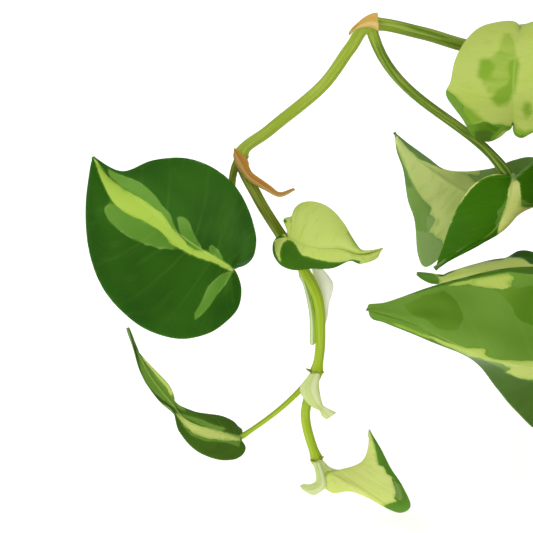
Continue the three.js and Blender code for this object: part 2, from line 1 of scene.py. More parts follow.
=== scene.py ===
# %% [markdown]
# # A potted cream splash philodendron
# A trailing house plant: a clay pot with soil, nine vines, thirty-nine heart-shaped leaves, and the sheaths
# that the youngest leaves came out of. Every surface is a formula on a grid of numbers, worked out with
# numpy, and becomes a Blender mesh at the end. Lengths are in millimetres until then, and +Z is up.

import bmesh
import bpy
import numpy as np
from mathutils import Matrix


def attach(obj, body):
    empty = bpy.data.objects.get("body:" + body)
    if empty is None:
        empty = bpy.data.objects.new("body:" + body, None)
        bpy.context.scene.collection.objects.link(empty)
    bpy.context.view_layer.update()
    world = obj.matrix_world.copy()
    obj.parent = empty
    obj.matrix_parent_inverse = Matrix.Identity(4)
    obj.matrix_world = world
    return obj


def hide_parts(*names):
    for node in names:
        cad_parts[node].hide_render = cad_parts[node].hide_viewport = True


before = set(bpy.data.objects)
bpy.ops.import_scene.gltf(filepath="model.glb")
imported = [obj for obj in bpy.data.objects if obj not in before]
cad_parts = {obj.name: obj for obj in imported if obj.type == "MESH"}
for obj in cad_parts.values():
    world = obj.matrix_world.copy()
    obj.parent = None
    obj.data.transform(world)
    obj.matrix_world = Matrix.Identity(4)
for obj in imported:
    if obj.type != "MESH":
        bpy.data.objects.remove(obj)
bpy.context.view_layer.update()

# %% [markdown]
# ## Driving sizes
# The pot, its soil and the thin parts have a few sizes that everything else hangs on. They could be typed
# where they are used, but a list at the top is changed in one place. The pot and the soil share their
# sizes with the solid model.

# %% Sizes
POT_HEIGHT = 124.0
POT_RIM_RADIUS = 70.0
POT_FOOT_RADIUS = 48.0
POT_WALL = 5.0
RIM_DEPTH = 30.0
RIM_STEP = 3.5
DRAIN_RADIUS = 5.0
DRAIN_RING = 26.0
SOIL_BELOW_RIM = 17.0
SOIL_CRUMB = 1.6
SOIL_GAP = 0.3
POT_SECTORS = 128
BLADE_THICKNESS = 0.5
SHEATH_THICKNESS = 0.35
HALF_WIDTH = 0.56
MM = 0.001
rng = np.random.default_rng(7)
print("pot:", 2 * POT_RIM_RADIUS, "mm across and", POT_HEIGHT, "mm high")

# %% [markdown]
# ## Curves
# Midribs, leaf edges and vines are smooth lines through a few places. Blender has curve objects for that.
# Here they are formulas instead, because the surfaces that hang on them need every place and direction as a
# number.

# %% Curves
def unit(v):
    """v / |v|, row by row."""
    v = np.asarray(v, float)
    return v / np.maximum(np.linalg.norm(v, axis=-1, keepdims=True), 1e-12)


def mix(a, b, t):
    """a + (b - a) t."""
    return a + (b - a) * t


def smooth(low, high, x):
    """3t^2 - 2t^3, where t runs from 0 to 1 between low and high."""
    t = np.clip((x - low) / (high - low), 0, 1)
    return t * t * (3 - 2 * t)


def cubic(points, t):
    """(1-t)^3 p0 + 3t(1-t)^2 p1 + 3t^2(1-t) p2 + t^3 p3."""
    p = np.asarray(points, float)
    t = np.asarray(t, float)[..., None]
    return (1 - t) ** 3 * p[0] + 3 * t * (1 - t) ** 2 * p[1] + 3 * t**2 * (1 - t) * p[2] + t**3 * p[3]


def between_rows(knots, rows, t):
    """mix(near, far, 3w^2 - 2w^3) + (w^3 - 2w^2 + w) direction near + (w^3 - w^2) direction far."""
    knots, rows, t = np.asarray(knots, float), np.asarray(rows, float), np.asarray(t, float)
    slope = np.gradient(rows, knots, axis=0)
    k = np.clip(np.searchsorted(knots, t, side="right") - 1, 0, len(knots) - 2)
    wide = (knots[k + 1] - knots[k])[..., None]
    w = (t - knots[k])[..., None] / wide
    leaving, coming = (w**3 - 2 * w**2 + w) * slope[k], (w**3 - w**2) * slope[k + 1]
    return mix(rows[k], rows[k + 1], 3 * w**2 - 2 * w**3) + (leaving + coming) * wide


print("half way on a test curve:", cubic([[0], [0], [1], [1]], 0.5))

# %% [markdown]
# ## The flat leaf
# A heart-leaf philodendron has a heart-shaped blade whose side veins leave the midrib steeply and bow
# towards the tip. The outline could be cut from a plane, but the mesh would then run across the veins. So
# each half blade is a map of two numbers. The vein number a runs from 0 at the stalk, round the lobe and
# along the side, to 1 at the tip. The share v runs from 0 at the midrib to 1 at the edge. Every vein is
# then a line of the grid.

# %% The flat blade
OUTLINE = [
    [[0, 0], [-0.11, 0.01], [-0.17, 0.1], [-0.17, 0.24]],
    [[-0.17, 0.24], [-0.17, 0.43], [0.02, 0.56], [0.26, 0.56]],
    [[0.26, 0.56], [0.56, 0.56], [0.8, 0.08], [1, 0]],
]
SHARES = [0, 0.18, 0.48, 1]
VEIN_START = 0.24
VEIN_BUNCHING = 1.6
BOW_ALONG = 0.3
BOW_OUT = 0.6


def vein_root(a):
    """((a - 0.24) / 0.76)^1.6, where vein a leaves the midrib. The veins of the lobe all leave it at 0."""
    return np.maximum(0, (a - VEIN_START) / (1 - VEIN_START)) ** VEIN_BUNCHING


def flat(a, v, full):
    """(1 - v)^2 root + 2v(1 - v) bow + v^2 edge. The bow is 0.3 of the way along and 0.6 of the way out."""
    edge_x, edge_y = np.zeros_like(a), np.zeros_like(a)
    for k in range(3):
        here = (a >= SHARES[k]) & (a <= SHARES[k + 1])
        t = (a[here] - SHARES[k]) / (SHARES[k + 1] - SHARES[k])
        edge_x[here], edge_y[here] = cubic(OUTLINE[k], t).T
        if k == 2:
            edge_x[here] += 0.3 * full * t * t * (1 - t)
            edge_y[here] *= np.exp(1.1 * full * t * t)
    root = vein_root(a)
    x = root * (1 - v) ** 2 + mix(root, edge_x, BOW_ALONG) * 2 * v * (1 - v) + edge_x * v**2
    return x, BOW_OUT * edge_y * 2 * v * (1 - v) + edge_y * v**2


print("widest share of the outline:", max(point[1] for curve in OUTLINE for point in curve))

# %% [markdown]
# ## The leaf in space
# A live blade is folded along its midrib, its halves curl, and its edge waves. Modifiers could bend a flat
# mesh, but they would bend all leaves alike. So the midrib carries a frame of three directions. Each half
# leaves it at the fold angle and bends on along a circle. The leaves in the photo have edges of their own,
# which the blade is stretched to.

# %% The blade in space
EDGE_VEINS = [0, 0.05, 0.11, 0.18, 0.25, 0.33, 0.4, 0.48, 0.58, 0.68, 0.78, 0.88, 0.95, 1]


def rib_place(leaf, s):
    """The midrib: a cubic curve on its four points, or a line through the six read from the photo."""
    if "edges" in leaf:
        return between_rows(np.linspace(0, 1, 6), leaf["rib"], s)
    return cubic(leaf["rib"], s)


def rib_frame(leaf, s):
    """At shares s of the way to the tip: the place, ahead, left = facing x ahead and up = ahead x left."""
    s = np.asarray(s, float)
    ahead = unit(rib_place(leaf, np.minimum(s + 0.01, 1)) - rib_place(leaf, np.maximum(s - 0.01, 0)))
    facing = mix(*np.asarray(leaf["face"], float), s[..., None])
    left = unit(np.cross(facing, ahead))
    return rib_place(leaf, s), ahead, left, np.cross(ahead, left)


def seen_points(leaf, a, v, half):
    """(1 - v)^2 root + 2v(1 - v) bow + v^2 edge from the photo, plus a belly 4 b v (1 - v)."""
    edge = between_rows(EDGE_VEINS, leaf["edges"][half], a)
    foot, root = flat(a, np.ones_like(a), 0)[0], vein_root(a)
    behind = unit(rib_place(leaf, np.zeros_like(a)) - rib_place(leaf, np.full_like(a, 0.02)))

    def on_rib(x):
        """The place at a share x of the midrib, or straight behind its foot where x is below 0."""
        return rib_place(leaf, np.maximum(x, 0)) - behind * (np.minimum(x, 0) * leaf["length"])[..., None]

    bow = on_rib(mix(root, foot, BOW_ALONG)) + BOW_OUT * (edge - on_rib(foot))
    v = v[..., None]
    belly = leaf["belly"][half] * 4 * v * (1 - v) * smooth(0, 0.2, a)[..., None]
    lifted = rib_frame(leaf, np.maximum(foot, 0))[3] * belly
    return rib_place(leaf, root) * (1 - v) ** 2 + bow * 2 * v * (1 - v) + edge * v**2 + lifted


def blade_points(leaf, a, v, side):
    """out = (r/c)(sin(f + c y) - sin f), rise = (r/c)(cos f - cos(f + c y)), with the fold f and curl c."""
    half = 0 if side > 0 else 1
    if "edges" in leaf:
        return seen_points(leaf, a, v, half)
    x, y = flat(a, v, leaf["full"][half])
    s = np.maximum(x, 0)
    place, _, left, up = rib_frame(leaf, s)
    back = unit(leaf["rib"][1] - leaf["rib"][0])
    place = place + back * (np.minimum(x, 0) * leaf["lobe"][half] * leaf["length"])[..., None]
    fold, curl = np.radians(mix(*leaf["fold"], s)), np.radians(leaf["curl"][half])
    reach = HALF_WIDTH * leaf["width"][half] * leaf["length"] / curl
    angle = fold + curl * y / HALF_WIDTH
    out, rise = reach * (np.sin(angle) - np.sin(fold)), reach * (np.cos(fold) - np.cos(angle))
    wave = leaf["wave"][0] * v * v * np.sin(2 * np.pi * (leaf["wave"][1] * a + side * 0.2))
    return place + left * (side * out)[..., None] + up * (rise + wave)[..., None]


print("veins that the edges are given at:", len(EDGE_VEINS))

# %% [markdown]
# ## The vines
# A vine climbs out of the soil, arches over the rim and hangs. It grows from joint to joint, a leaf at
# each, with a slight turn there. A simulated rope would hang well but never stand where the photo has it.
# So each vine is a list of places, the joints among them that leaves grow from, and its radius at both
# ends. USUAL holds the joints and radii that several vines share.

# %% Vines
USUAL = [[2, 3, 4, 5], [2, 1.4]]
VINES = {
    "a": [[[-26, -4, 78], [-29, -5, 110], [-44, -11, 158], [-88, -19, 191], [-109, -23, 196.6],
          [-126, -25, 202], [-145.4, -25, 205.2], [-153.6, -25.7, 195.7], [-164.6, -31.2, 181.9],
          [-184.6, -36.3, 166.1], [-195.9, -38.5, 156.2], [-189.5, -41.6, 140.3], [-178.4, -45, 122.6],
          [-166.7, -47.4, 103.1], [-164.7, -49.2, 86], [-166.1, -50.4, 71.1], [-170.5, -52, 53],
          [-166, -54, 35], [-163.5, -55, 28.5]], [2, 3, 6, 10, 12, 15, 17], [2.85, 1.8]],
    "b": [[[-20, -32, 78], [-23, -36, 110], [-34, -56, 142], [-44, -72, 128], [-48, -86, 86],
          [-42, -102, 46], [-32, -118, 16]], *USUAL],
    "c": [[[-24, 22, 78], [-27, 25, 110], [-44, 34, 152], [-44, 60, 150], [-40, 84, 118], [-36, 98, 76],
          [-30, 110, 38]], *USUAL],
    "d": [[[2, -38, 78], [3, -44, 110], [10, -66, 144], [16, -92, 120], [18, -100, 80], [14, -106, 44],
          [4, -116, 14]], *USUAL],
    "e": [[[24, -26, 78], [28, -31, 110], [52, -52, 152], [84, -70, 142], [102, -82, 104], [106, -90, 64],
          [114, -102, 28]], *USUAL],
    "f": [[[32, 2, 78], [36, 4, 110], [60, 8, 162], [98, 10, 182], [138, 6, 162], [166, 0, 124],
          [182, -10, 84], [196, -24, 44], [220, -40, 10], [252, -52, 4]], [2, 3, 4, 5, 6, 7], [2.3, 1.4]],
    "g": [[[22, 28, 78], [26, 33, 110], [46, 56, 148], [64, 82, 136], [74, 96, 98], [78, 104, 58],
          [86, 114, 24]], *USUAL],
    "h": [[[0, 36, 78], [2, 42, 110], [12, 66, 146], [18, 90, 126], [20, 100, 84],
          [24, 106, 48]], [2, 3, 4], [2, 1.4]],
    "i": [[[2, 2, 78], [3, 3, 110], [8, 6, 150], [2, 4, 186], [8, -4, 214]], [2, 3, 4], [2.2, 1.6]],
}
print("vines:", len(VINES), "with", sum(len(joints) for _, joints, _ in VINES.values()), "leaf joints")

# %% [markdown]
# ## The photographed leaves
# Nine leaves are seen in the photo, folded and turned in ways that no rule gives. They could be posed by
# angles, but their edges would miss the picture's by millimetres. So each is drawn: its midrib and
# its two edges, as a column and a row of pixels and the millimetres by which the place is nearer to the
# camera than its target, so the numbers in each list go in threes. The vine and joint that hold it, the
# way its stalk leaves and its face are given with it.

# %% Edges read from the photo
LOOK_DOWN = np.radians(18)
TARGET = np.array([-186.0, -30.0, 108.0])
DISTANCE = 888.3
MM_PER_PIXEL = 0.4
MIDDLE_PIXEL = 266.5
UPWARD = np.array([0, np.sin(LOOK_DOWN), np.cos(LOOK_DOWN)])
TOWARD = np.array([0, -np.cos(LOOK_DOWN), np.sin(LOOK_DOWN)])


def seen(numbers):
    """target + x right + y up + d toward, with x and y scaled by (distance - d) / distance."""
    column, row, toward = np.reshape(numbers, (-1, 3)).astype(float).T
    scale = MM_PER_PIXEL * (DISTANCE - toward) / DISTANCE
    x, y = (column - MIDDLE_PIXEL) * scale, (MIDDLE_PIXEL - row) * scale
    return TARGET + x[:, None] * [1, 0, 0] + y[:, None] * UPWARD + toward[:, None] * TOWARD


SEEN = {
    "leaf_01": {
        "vine": "a", "joint": 10, "leave": [-0.6, 0.1, -0.8], "meet": 70, "stalk": [1.5, 1.2],
        "length": 69.47, "face": [[-0.37, -0.91, -0.19], [-0.37, -0.91, -0.19]], "belly": [1.5, 1.5],
        "rib": [232, 268, 23, 206, 252, 23, 178, 233, 24, 149, 211, 24, 120, 186, 23, 94, 156.6, 22],
        "left": [236.6, 272.4, 23, 241.4, 288, 21, 238, 308.4, 18, 223, 324, 14, 203, 334.4, 11,
            179, 338.6, 9, 149, 331.6, 8, 120, 310.4, 8, 99, 282, 9, 87.4, 246, 12, 86.4, 204, 17,
            90.8, 174, 21],
        "right": [238, 268.4, 25, 246, 265.4, 30, 253.6, 256, 38, 256.8, 242, 44, 254.4, 225, 50,
            247.4, 207, 53, 235, 186, 54, 213, 168, 53, 184, 158.6, 48, 152, 160.4, 40, 124, 171, 30,
            107, 165.6, 25],
    },
    "leaf_02": {
        "vine": "a", "joint": 12, "leave": [-0.2, -1, 0.3], "meet": 70, "stalk": [1.2, 0.9],
        "length": 37.71, "face": [[0, -0.9, 0.5], [0, -0.9, 0.5]], "belly": [2.5, 1.5],
        "rib": [287.7, 236.7, 29, 302, 244, 31, 319, 248, 33, 340, 249, 33, 359, 254, 32, 381.6, 249.6, 30],
        "left": [288.6, 230, 29, 284.2, 219.8, 28, 291.4, 216, 27, 294, 207.5, 26, 301, 202, 26,
            310.6, 201, 27, 322, 203.3, 28, 333.4, 210.7, 29, 342.7, 222.9, 30, 351, 236, 31,
            363.5, 250.8, 31, 374, 252, 30],
        "right": [284.9, 235.4, 28, 279.1, 236.1, 27, 273.7, 240, 26, 272, 247.1, 27, 274.1, 257.1, 29,
            280.6, 265.7, 30, 292.7, 270.4, 31, 312, 268.5, 31, 333, 267.5, 31, 350, 261, 31,
            362.5, 263.6, 31, 377.5, 258, 30],
    },
    "leaf_03": {
        "vine": "a", "joint": 15, "leave": [-0.62, -0.39, -0.68], "arrive": [-0.83, -0.14, -0.55],
        "stalk": [1.15, 1], "length": 63.14, "face": [[0, -0.8, 0.3], [-0.7, 0.9, -0.3]],
        "belly": [1.2, 1.2],
        "rib": [240, 438, 5, 216.7, 431, 7, 188.3, 421, 9, 170, 401, 11, 147, 370, 13, 128.6, 327.5, 15],
        "left": [242.5, 439.2, 6, 245.5, 444.2, 8, 245.5, 450, 10, 241.7, 455.8, 12, 231.7, 460, 14,
            216.7, 459.7, 15, 196.7, 451.7, 15, 179.3, 432, 13, 173.5, 410.5, 12, 157.5, 398, 13,
            141.3, 370, 14, 134.6, 347.6, 15],
        "right": [241.7, 436.7, 4, 243, 433.3, 2, 242.5, 428.3, 1, 239, 425.6, 0, 233, 421.7, 0,
            222, 417.6, 1, 209, 414.6, 3, 192, 410.3, 6, 176.2, 402.3, 9, 169.5, 386.5, 11, 150, 365.5, 13,
            135.8, 347.6, 14],
    },
    "leaf_04": {
        "vine": "a", "joint": 17, "leave": [0.6, -0.5, -0.3], "meet": 60, "stalk": [1, 0.8],
        "length": 21.99, "face": [[0, -0.8, 0.6], [0, -0.8, 0.6]], "belly": [0.5, 1.5],
        "rib": [328, 473, 3, 341, 469.6, 2, 354, 466, 1, 363, 460.5, 0, 368, 450, -2, 369.3, 430.7, -5],
        "left": [326, 474, 2, 325, 475.5, 0, 326, 477, -3, 328, 477, -6, 332, 475, -8, 338, 473, -9,
            345, 471.5, -10, 353, 469.5, -11, 360, 466, -11, 365, 459, -10, 368.5, 449, -8, 369.5, 439, -6],
        "right": [325, 479, 3, 325.5, 486, 3, 332.8, 492.8, 4, 349.7, 491.4, 5, 367.9, 498.4, 6,
            382, 506.2, 7, 398.8, 512.9, 8, 410.7, 505.7, 9, 402.5, 485.7, 7, 390.7, 468.5, 4,
            380.7, 448.5, 0, 374.3, 438, -3],
    },
    "leaf_05": {
        "vine": "a", "joint": 6, "leave": [0.22, -0.06, -0.97], "arrive": [0.54, -0.1, -0.83],
        "stalk": [1.9, 2.1], "length": 48.75, "face": [[0.61, -0.75, 0.24], [0.49, -0.86, -0.11]],
        "belly": [1.5, 2],
        "rib": [511.9, 177.4, 16, 510.4, 192.9, 18, 505, 211.4, 21, 492, 232, 24, 466, 247, 26,
            433.6, 267.6, 27],
        "left": [515, 175, 15, 520, 171.4, 12, 527.9, 164.6, 8, 536.4, 158.6, 4, 547.9, 158.6, 2,
            553.6, 168.6, 1, 550.7, 187.1, 2, 539.3, 202.1, 6, 522, 211.5, 11, 503, 227, 17, 472, 247.5, 23,
            449, 259, 26],
        "right": [510, 175.7, 15, 505, 173.7, 16, 497.9, 173.4, 18, 490.7, 174.6, 19, 482.9, 177.6, 20,
            475, 182.9, 21, 465.7, 193.6, 21, 455.7, 211.4, 21, 448.6, 228.6, 22, 442.9, 245.7, 24,
            438.6, 257.1, 25, 435.7, 263.6, 26],
    },
    "leaf_06": {
        "vine": "c", "joint": 2, "leave": [-0.8, -0.5, 0], "meet": 60, "stalk": [1.6, 1.2], "length": 58.64,
        "face": [[-0.32, 0.63, -0.7], [-0.32, 0.63, -0.7]], "belly": [0.3, -1],
        "rib": [505, 208, -20, 482, 198, -12, 457, 187, -6, 432, 171, -2, 410, 153, 0, 393.6, 132.9, 1],
        "left": [510, 210, -22, 519, 203, -25, 532, 196, -28, 546, 182, -30, 548, 163, -30, 533, 156.9, -27,
            513.6, 160, -22, 492, 168, -16, 465, 171.3, -9, 443.5, 168.8, -4, 428, 157.4, -1,
            407, 142.6, 0],
        "right": [505, 212, -20, 504, 216, -20, 497, 222, -19, 486, 229, -16, 466, 241, -12, 446, 254, -9,
            427.1, 266.9, -7, 417.8, 254.3, -8, 414.7, 221, -9, 407.8, 199, -6, 402.6, 169.3, -2,
            395.7, 150, 0],
    },
    "leaf_07": {
        "vine": "a", "joint": 3, "leave": [0, -0.4, -1], "meet": 70, "stalk": [1.6, 1.3], "length": 40.19,
        "face": [[0, -0.9, 0.3], [0, 0.2, 1]], "belly": [0.3, 0.3],
        "rib": [512.9, 124, 27, 512.9, 97, 39, 514, 70, 44, 517, 45, 44, 519.5, 32, 39, 520.3, 27.8, 32],
        "left": [510.6, 128.8, 25, 505, 131.6, 24, 497, 138, 24, 487, 142, 25, 473, 136.8, 28, 462, 119, 33,
            446.6, 97, 40, 450.6, 81, 43, 455.6, 58.8, 42, 468.5, 38, 38, 488, 24, 35, 512, 21, 33],
        "right": [513.8, 128.8, 25, 516.3, 135, 25, 522.5, 137.8, 26, 531.3, 133.8, 27, 542.5, 128.8, 29,
            553, 120, 33, 562, 103, 40, 566, 82, 45, 562, 55, 47, 553, 34, 44, 543, 20, 38, 530, 23.5, 34],
    },
    "leaf_08": {
        "vine": "b", "joint": 3, "leave": [0.2, 0.1, -1], "meet": 70, "stalk": [1.7, 1.4], "length": 92.17,
        "face": [[-0.1, -0.95, 0.1], [-0.1, -0.95, 0.2]], "belly": [0.5, 2],
        "rib": [609, 353, 58, 560, 366, 62, 508, 363, 64, 460, 346, 62, 413, 324, 60, 366.6, 309, 57.5],
        "left": [619, 366, 55, 616, 385, 48, 602, 408, 37, 578, 427, 27, 540, 432, 21, 515, 410, 19,
            498, 388, 22, 481, 366, 31, 460, 354, 46, 420, 337, 57, 384, 323.5, 58, 370, 318, 57],
        "right": [623, 352, 55, 635, 340, 53, 642, 319, 51, 638, 299, 49, 622, 282, 48, 590, 270, 48,
            532.8, 267.6, 46, 493.3, 270.5, 46, 460, 278.5, 47, 427, 287.5, 51, 386, 300.6, 56,
            368.5, 303.4, 57],
    },
    "leaf_09": {
        "vine": "b", "joint": 2, "leave": [-1, 0.2, 0.5], "meet": 30, "stalk": [1.5, 1.2], "length": 58.34,
        "face": [[0, 0.15, 1], [0, 0.15, 1]], "belly": [1, 1],
        "rib": [565, 264, 26, 535, 266, 27, 504, 269, 28, 473, 271, 30, 443, 277, 30, 416.7, 275, 31],
        "left": [576, 261, 26, 586, 262, 28, 593, 265, 31, 592, 268, 35, 581, 272, 38, 564, 274, 41,
            536, 276, 43, 508, 277, 43, 481, 279, 41, 453, 283, 38, 432, 285, 34, 422, 280, 32],
        "right": [572, 262, 24, 574, 257, 20, 565, 253, 13, 548, 252, 7, 531, 256, 2, 519.3, 250.3, 0,
            505, 257.6, 0, 482.1, 261, 3, 466.4, 264.7, 10, 450.7, 272.1, 17, 437.9, 278.1, 24,
            426.4, 276.1, 29],
    },
}
LEAVES = []
for name, leaf in SEEN.items():
    rib = seen(leaf["rib"])
    edges = [np.vstack([rib[:1], seen(leaf[half]), rib[-1:]]) for half in ("left", "right")]
    LEAVES.append({**leaf, "name": name, "rib": rib, "edges": edges})
print("photographed leaves:", len(LEAVES))

# %% [markdown]
# ## The other leaves
# The rest of the plant carries leaves of the same kind. They could be copies of one leaf, but copies show.
# So each is grown from a row of numbers: vine, joint, stalk, heading, climb, aim, dip, lean and length,
# with angles in degrees. A small number generator of its own makes its folds and waves, so that the solid
# model has the same ones.

# %% The leaves that the photo leaves out
ROWS_OF_LEAVES = [
    ["a", 2, 36, 100, 60, 120, 20, 10, 66], ["b", 4, 28, 295, 10, 285, 60, 0, 56],
    ["b", 5, 24, 238, 0, 245, 30, 0, 44], ["c", 3, 38, 90, 60, 102, 20, 0, 68],
    ["c", 4, 34, 60, 10, 60, 60, 0, 62], ["c", 5, 28, 60, 0, 88, 45, 0, 50],
    ["d", 2, 40, 285, 45, 280, 40, 0, 74], ["d", 3, 38, 300, 20, 295, 60, 0, 68],
    ["d", 4, 32, 250, 5, 250, 55, 0, 60], ["d", 5, 26, 290, 0, 300, 30, 0, 46],
    ["e", 2, 42, 340, 50, 330, 15, 0, 76], ["e", 3, 38, 285, 20, 295, 60, 0, 70],
    ["e", 4, 32, 350, 0, 345, 50, 0, 62], ["e", 5, 26, 280, 0, 280, 40, 0, 50],
    ["f", 2, 42, 50, 65, 55, 10, 0, 74], ["f", 3, 40, 340, 35, 335, 35, 0, 74],
    ["f", 4, 38, 60, 20, 50, 50, 0, 72], ["f", 5, 34, 330, 5, 325, 60, 0, 66],
    ["f", 6, 30, 60, 0, 50, 50, 0, 58], ["f", 7, 26, 20, 20, 10, 30, 0, 46],
    ["g", 2, 40, 60, 50, 55, 15, 0, 72], ["g", 3, 38, 30, 20, 25, 50, 0, 70],
    ["g", 4, 32, 80, 0, 80, 60, 0, 60], ["g", 5, 26, 40, 0, 45, 35, 0, 48],
    ["h", 2, 40, 85, 35, 86, 32, 0, 68], ["h", 3, 36, 70, 10, 75, 60, 0, 62],
    ["h", 4, 30, 75, 0, 80, 60, 0, 50], ["i", 2, 44, 242, 45, 238, 25, 0, 74],
    ["i", 3, 40, 100, 45, 110, 20, 0, 74], ["i", 4, 30, 300, 50, 290, 10, 0, 56],
]


def turned(v, axis, degrees):
    """v cos q + (axis x v) sin q + axis (axis . v)(1 - cos q)."""
    q = np.radians(degrees)
    return v * np.cos(q) + np.cross(axis, v) * np.sin(q) + axis * (axis @ v) * (1 - np.cos(q))


def towards(turn, up):
    """(cos u cos t, cos u sin t, sin u)."""
    t, u = np.radians([turn, up])
    return np.array([np.cos(u) * np.cos(t), np.cos(u) * np.sin(t), np.sin(u)])


def grown(row, number):
    """A leaf on a stalk that leads off towards heading and climb. Its blade aims at aim and dips by dip."""
    vine, joint, stalk, heading, climb, aim, dip, lean, length = row
    state = [number * 7919 + 104729]

    def draw(low, high):
        """state = (1664525 state + 1013904223) mod 2^32, as a number between low and high."""
        state[0] = (state[0] * 1664525 + 1013904223) % 4294967296
        return mix(low, high, state[0] / 4294967296)

    def pair(low, high):
        """One draw for each half blade."""
        return [draw(low, high), draw(low, high)]

    leave = towards(heading, climb)
    base = np.array(VINES[vine][0][joint]) + leave * stalk
    ahead = towards(aim, -dip)
    facing = turned(towards(aim, 90 - dip), ahead, -lean)
    arch = [0, draw(0.03, 0.1), draw(0.05, 0.13), 0]
    sway = turned(facing, ahead, draw(-14, 14))
    rib = [base + (ahead * k / 3 + facing * lift) * length for k, lift in enumerate(arch)]
    return {
        "name": f"leaf_{number}", "vine": vine, "joint": joint, "leave": leave + [0, 0, 0.25],
        "length": length, "stalk": [1.7, 1.25], "rib": rib, "face": [facing, sway], "meet": draw(45, 65),
        "fold": [draw(8, 18), draw(4, 12)], "curl": pair(-32, -8), "width": pair(0.9, 1.05),
        "lobe": pair(0.8, 1.1), "full": pair(0.3, 0.8), "wave": [draw(0.5, 1.4), draw(1.5, 2.6)],
    }


for row in ROWS_OF_LEAVES:
    LEAVES.append(grown(row, len(LEAVES) + 1))
print("leaves:", len(LEAVES))

# %% [markdown]
# ## Meshes
# A leaf with its stalk is one thing on the plant, and one object here. It could be built by Blender's
# operators, one face at a time, but thirty-nine leaves of many faces would take minutes. So a part is three
# arrays: its places, its faces and a few numbers at each place, and a piece is parts put end to end and
# welded where they meet.

# %% Meshes from grids
def grid_faces(rows, columns, wrap=False):
    """Corner (i, j) of a grid is place i columns + j. With wrap, the last column meets the first."""
    i, j = np.meshgrid(np.arange(rows - 1), np.arange(columns if wrap else columns - 1), indexing="ij")
    k = (j + 1) % columns
    corners = [i * columns + j, i * columns + k, (i + 1) * columns + k, (i + 1) * columns + j]
    return np.stack(corners, axis=-1).reshape(-1, 4)


def grid_normals(places):
    """Row direction x column direction, or the neighbours' sum where a fan folds them onto each other."""
    normal = np.cross(np.gradient(places, axis=0), np.gradient(places, axis=1))
    size = np.linalg.norm(normal, axis=-1)
    weak = size < 1e-3 * np.median(size)
    for _ in range(4):
        near = sum(np.roll(normal, shift, axis=axis) for axis, shift in ((0, 1), (0, -1), (1, 1), (1, -1)))
        normal[weak] = near[weak]
    return unit(normal)


def join(parts):
    """One part from several, with the faces counted on. Fields that a part lacks are zero."""
    counts = [len(p["places"]) for p in parts]
    starts = np.cumsum([0, *counts])
    given = [p.get("fields", {}) for p in parts]
    return {
        "places": np.concatenate([p["places"] for p in parts]),
        "faces": np.concatenate([p["faces"] + start for p, start in zip(parts, starts)]),
        "materials": np.concatenate([np.full(len(p["faces"]), p.get("material", 0)) for p in parts]),
        "fields": {
            name: np.concatenate([some.get(name, np.zeros(count)) for some, count in zip(given, counts)])
            for name in sorted({name for some in given for name in some})
        },
    }


def make_piece(node, parts, materials):
    """A Blender object from parts. It rides on the plant and stands in for one node of the solid model."""
    whole = join(parts)
    mesh = bpy.data.meshes.new(f"{node}_look")
    faces = [tuple(dict.fromkeys(face)) for face in whole["faces"].tolist()]
    mesh.from_pydata((whole["places"] * MM).tolist(), [], faces)
    for material in materials:
        mesh.materials.append(material)
    mesh.polygons.foreach_set("material_index", whole["materials"].astype(np.int32))
    for name, values in whole["fields"].items():
        mesh.attributes.new(name, "FLOAT", "POINT").data.foreach_set("value", values.astype(np.float32))
    shell = bmesh.new()
    shell.from_mesh(mesh)
    bmesh.ops.remove_doubles(shell, verts=shell.verts, dist=1e-7)
    bmesh.ops.recalc_face_normals(shell, faces=shell.faces)
    shell.to_mesh(mesh)
    shell.free()
    mesh.polygons.foreach_set("use_smooth", np.ones(len(mesh.polygons), bool))
    piece = bpy.data.objects.new(f"{node}_look", mesh)
    bpy.context.collection.objects.link(piece)
    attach(piece, "root")
    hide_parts(node)
    return piece


print("quads of a 3 by 3 grid:", len(grid_faces(3, 3)))

# %% [markdown]
# ## Blades as meshes
# A leaf blade is half a millimetre thick, with a groove along its midrib, hollows along the side veins and
# slow swells. A Solidify modifier could thicken one sheet. Here the blade is two sheets of one grid, moved
# apart along the surface's normals until they meet at the edge, because a thick midrib can then stand out
# beneath. The grid's lines are closer together at the midrib and at the edge, where the surface bends most.

# %% Blade sheets
SHARES_ACROSS = np.array(
    [0, 0.012, 0.028, 0.05, 0.085, 0.13, 0.19, 0.26, 0.34, 0.42, 0.5]
    + [0.58, 0.66, 0.74, 0.82, 0.89, 0.945, 0.98, 1]
)
SIDE_VEINS = 8
VEIN_SPREAD = 0.9
GOLDEN_ANGLE = 2.399
FULL_SIZE = 60
PHOTO_ROWS = 96
OTHER_ROWS = 64


def relief(leaf, a, v, side, near):
    """Hollows at the side veins + two slow swells - 0.1 e^(-(d/1.5)^2) at a distance d from the midrib."""
    phase = leaf["seed"] * GOLDEN_ANGLE
    between = np.abs(np.sin(np.pi * (SIDE_VEINS * a**VEIN_SPREAD + 0.08 * side)))
    quilt = 0.32 * (between**0.6 - 0.6) * smooth(0.02, 0.3, v) * (1 - smooth(0.75, 1, v))
    broad = 0.5 * np.sin(9 * a + 3 * v + phase) * v
    small = 0.3 * np.sin(21 * a - 4 * v * side + 2 * phase) * v * v
    forms = (quilt + broad + small) * smooth(0, 0.06, a) * min(1, leaf["length"] / FULL_SIZE)
    return forms - 0.1 * np.exp(-((near / 1.5) ** 2))


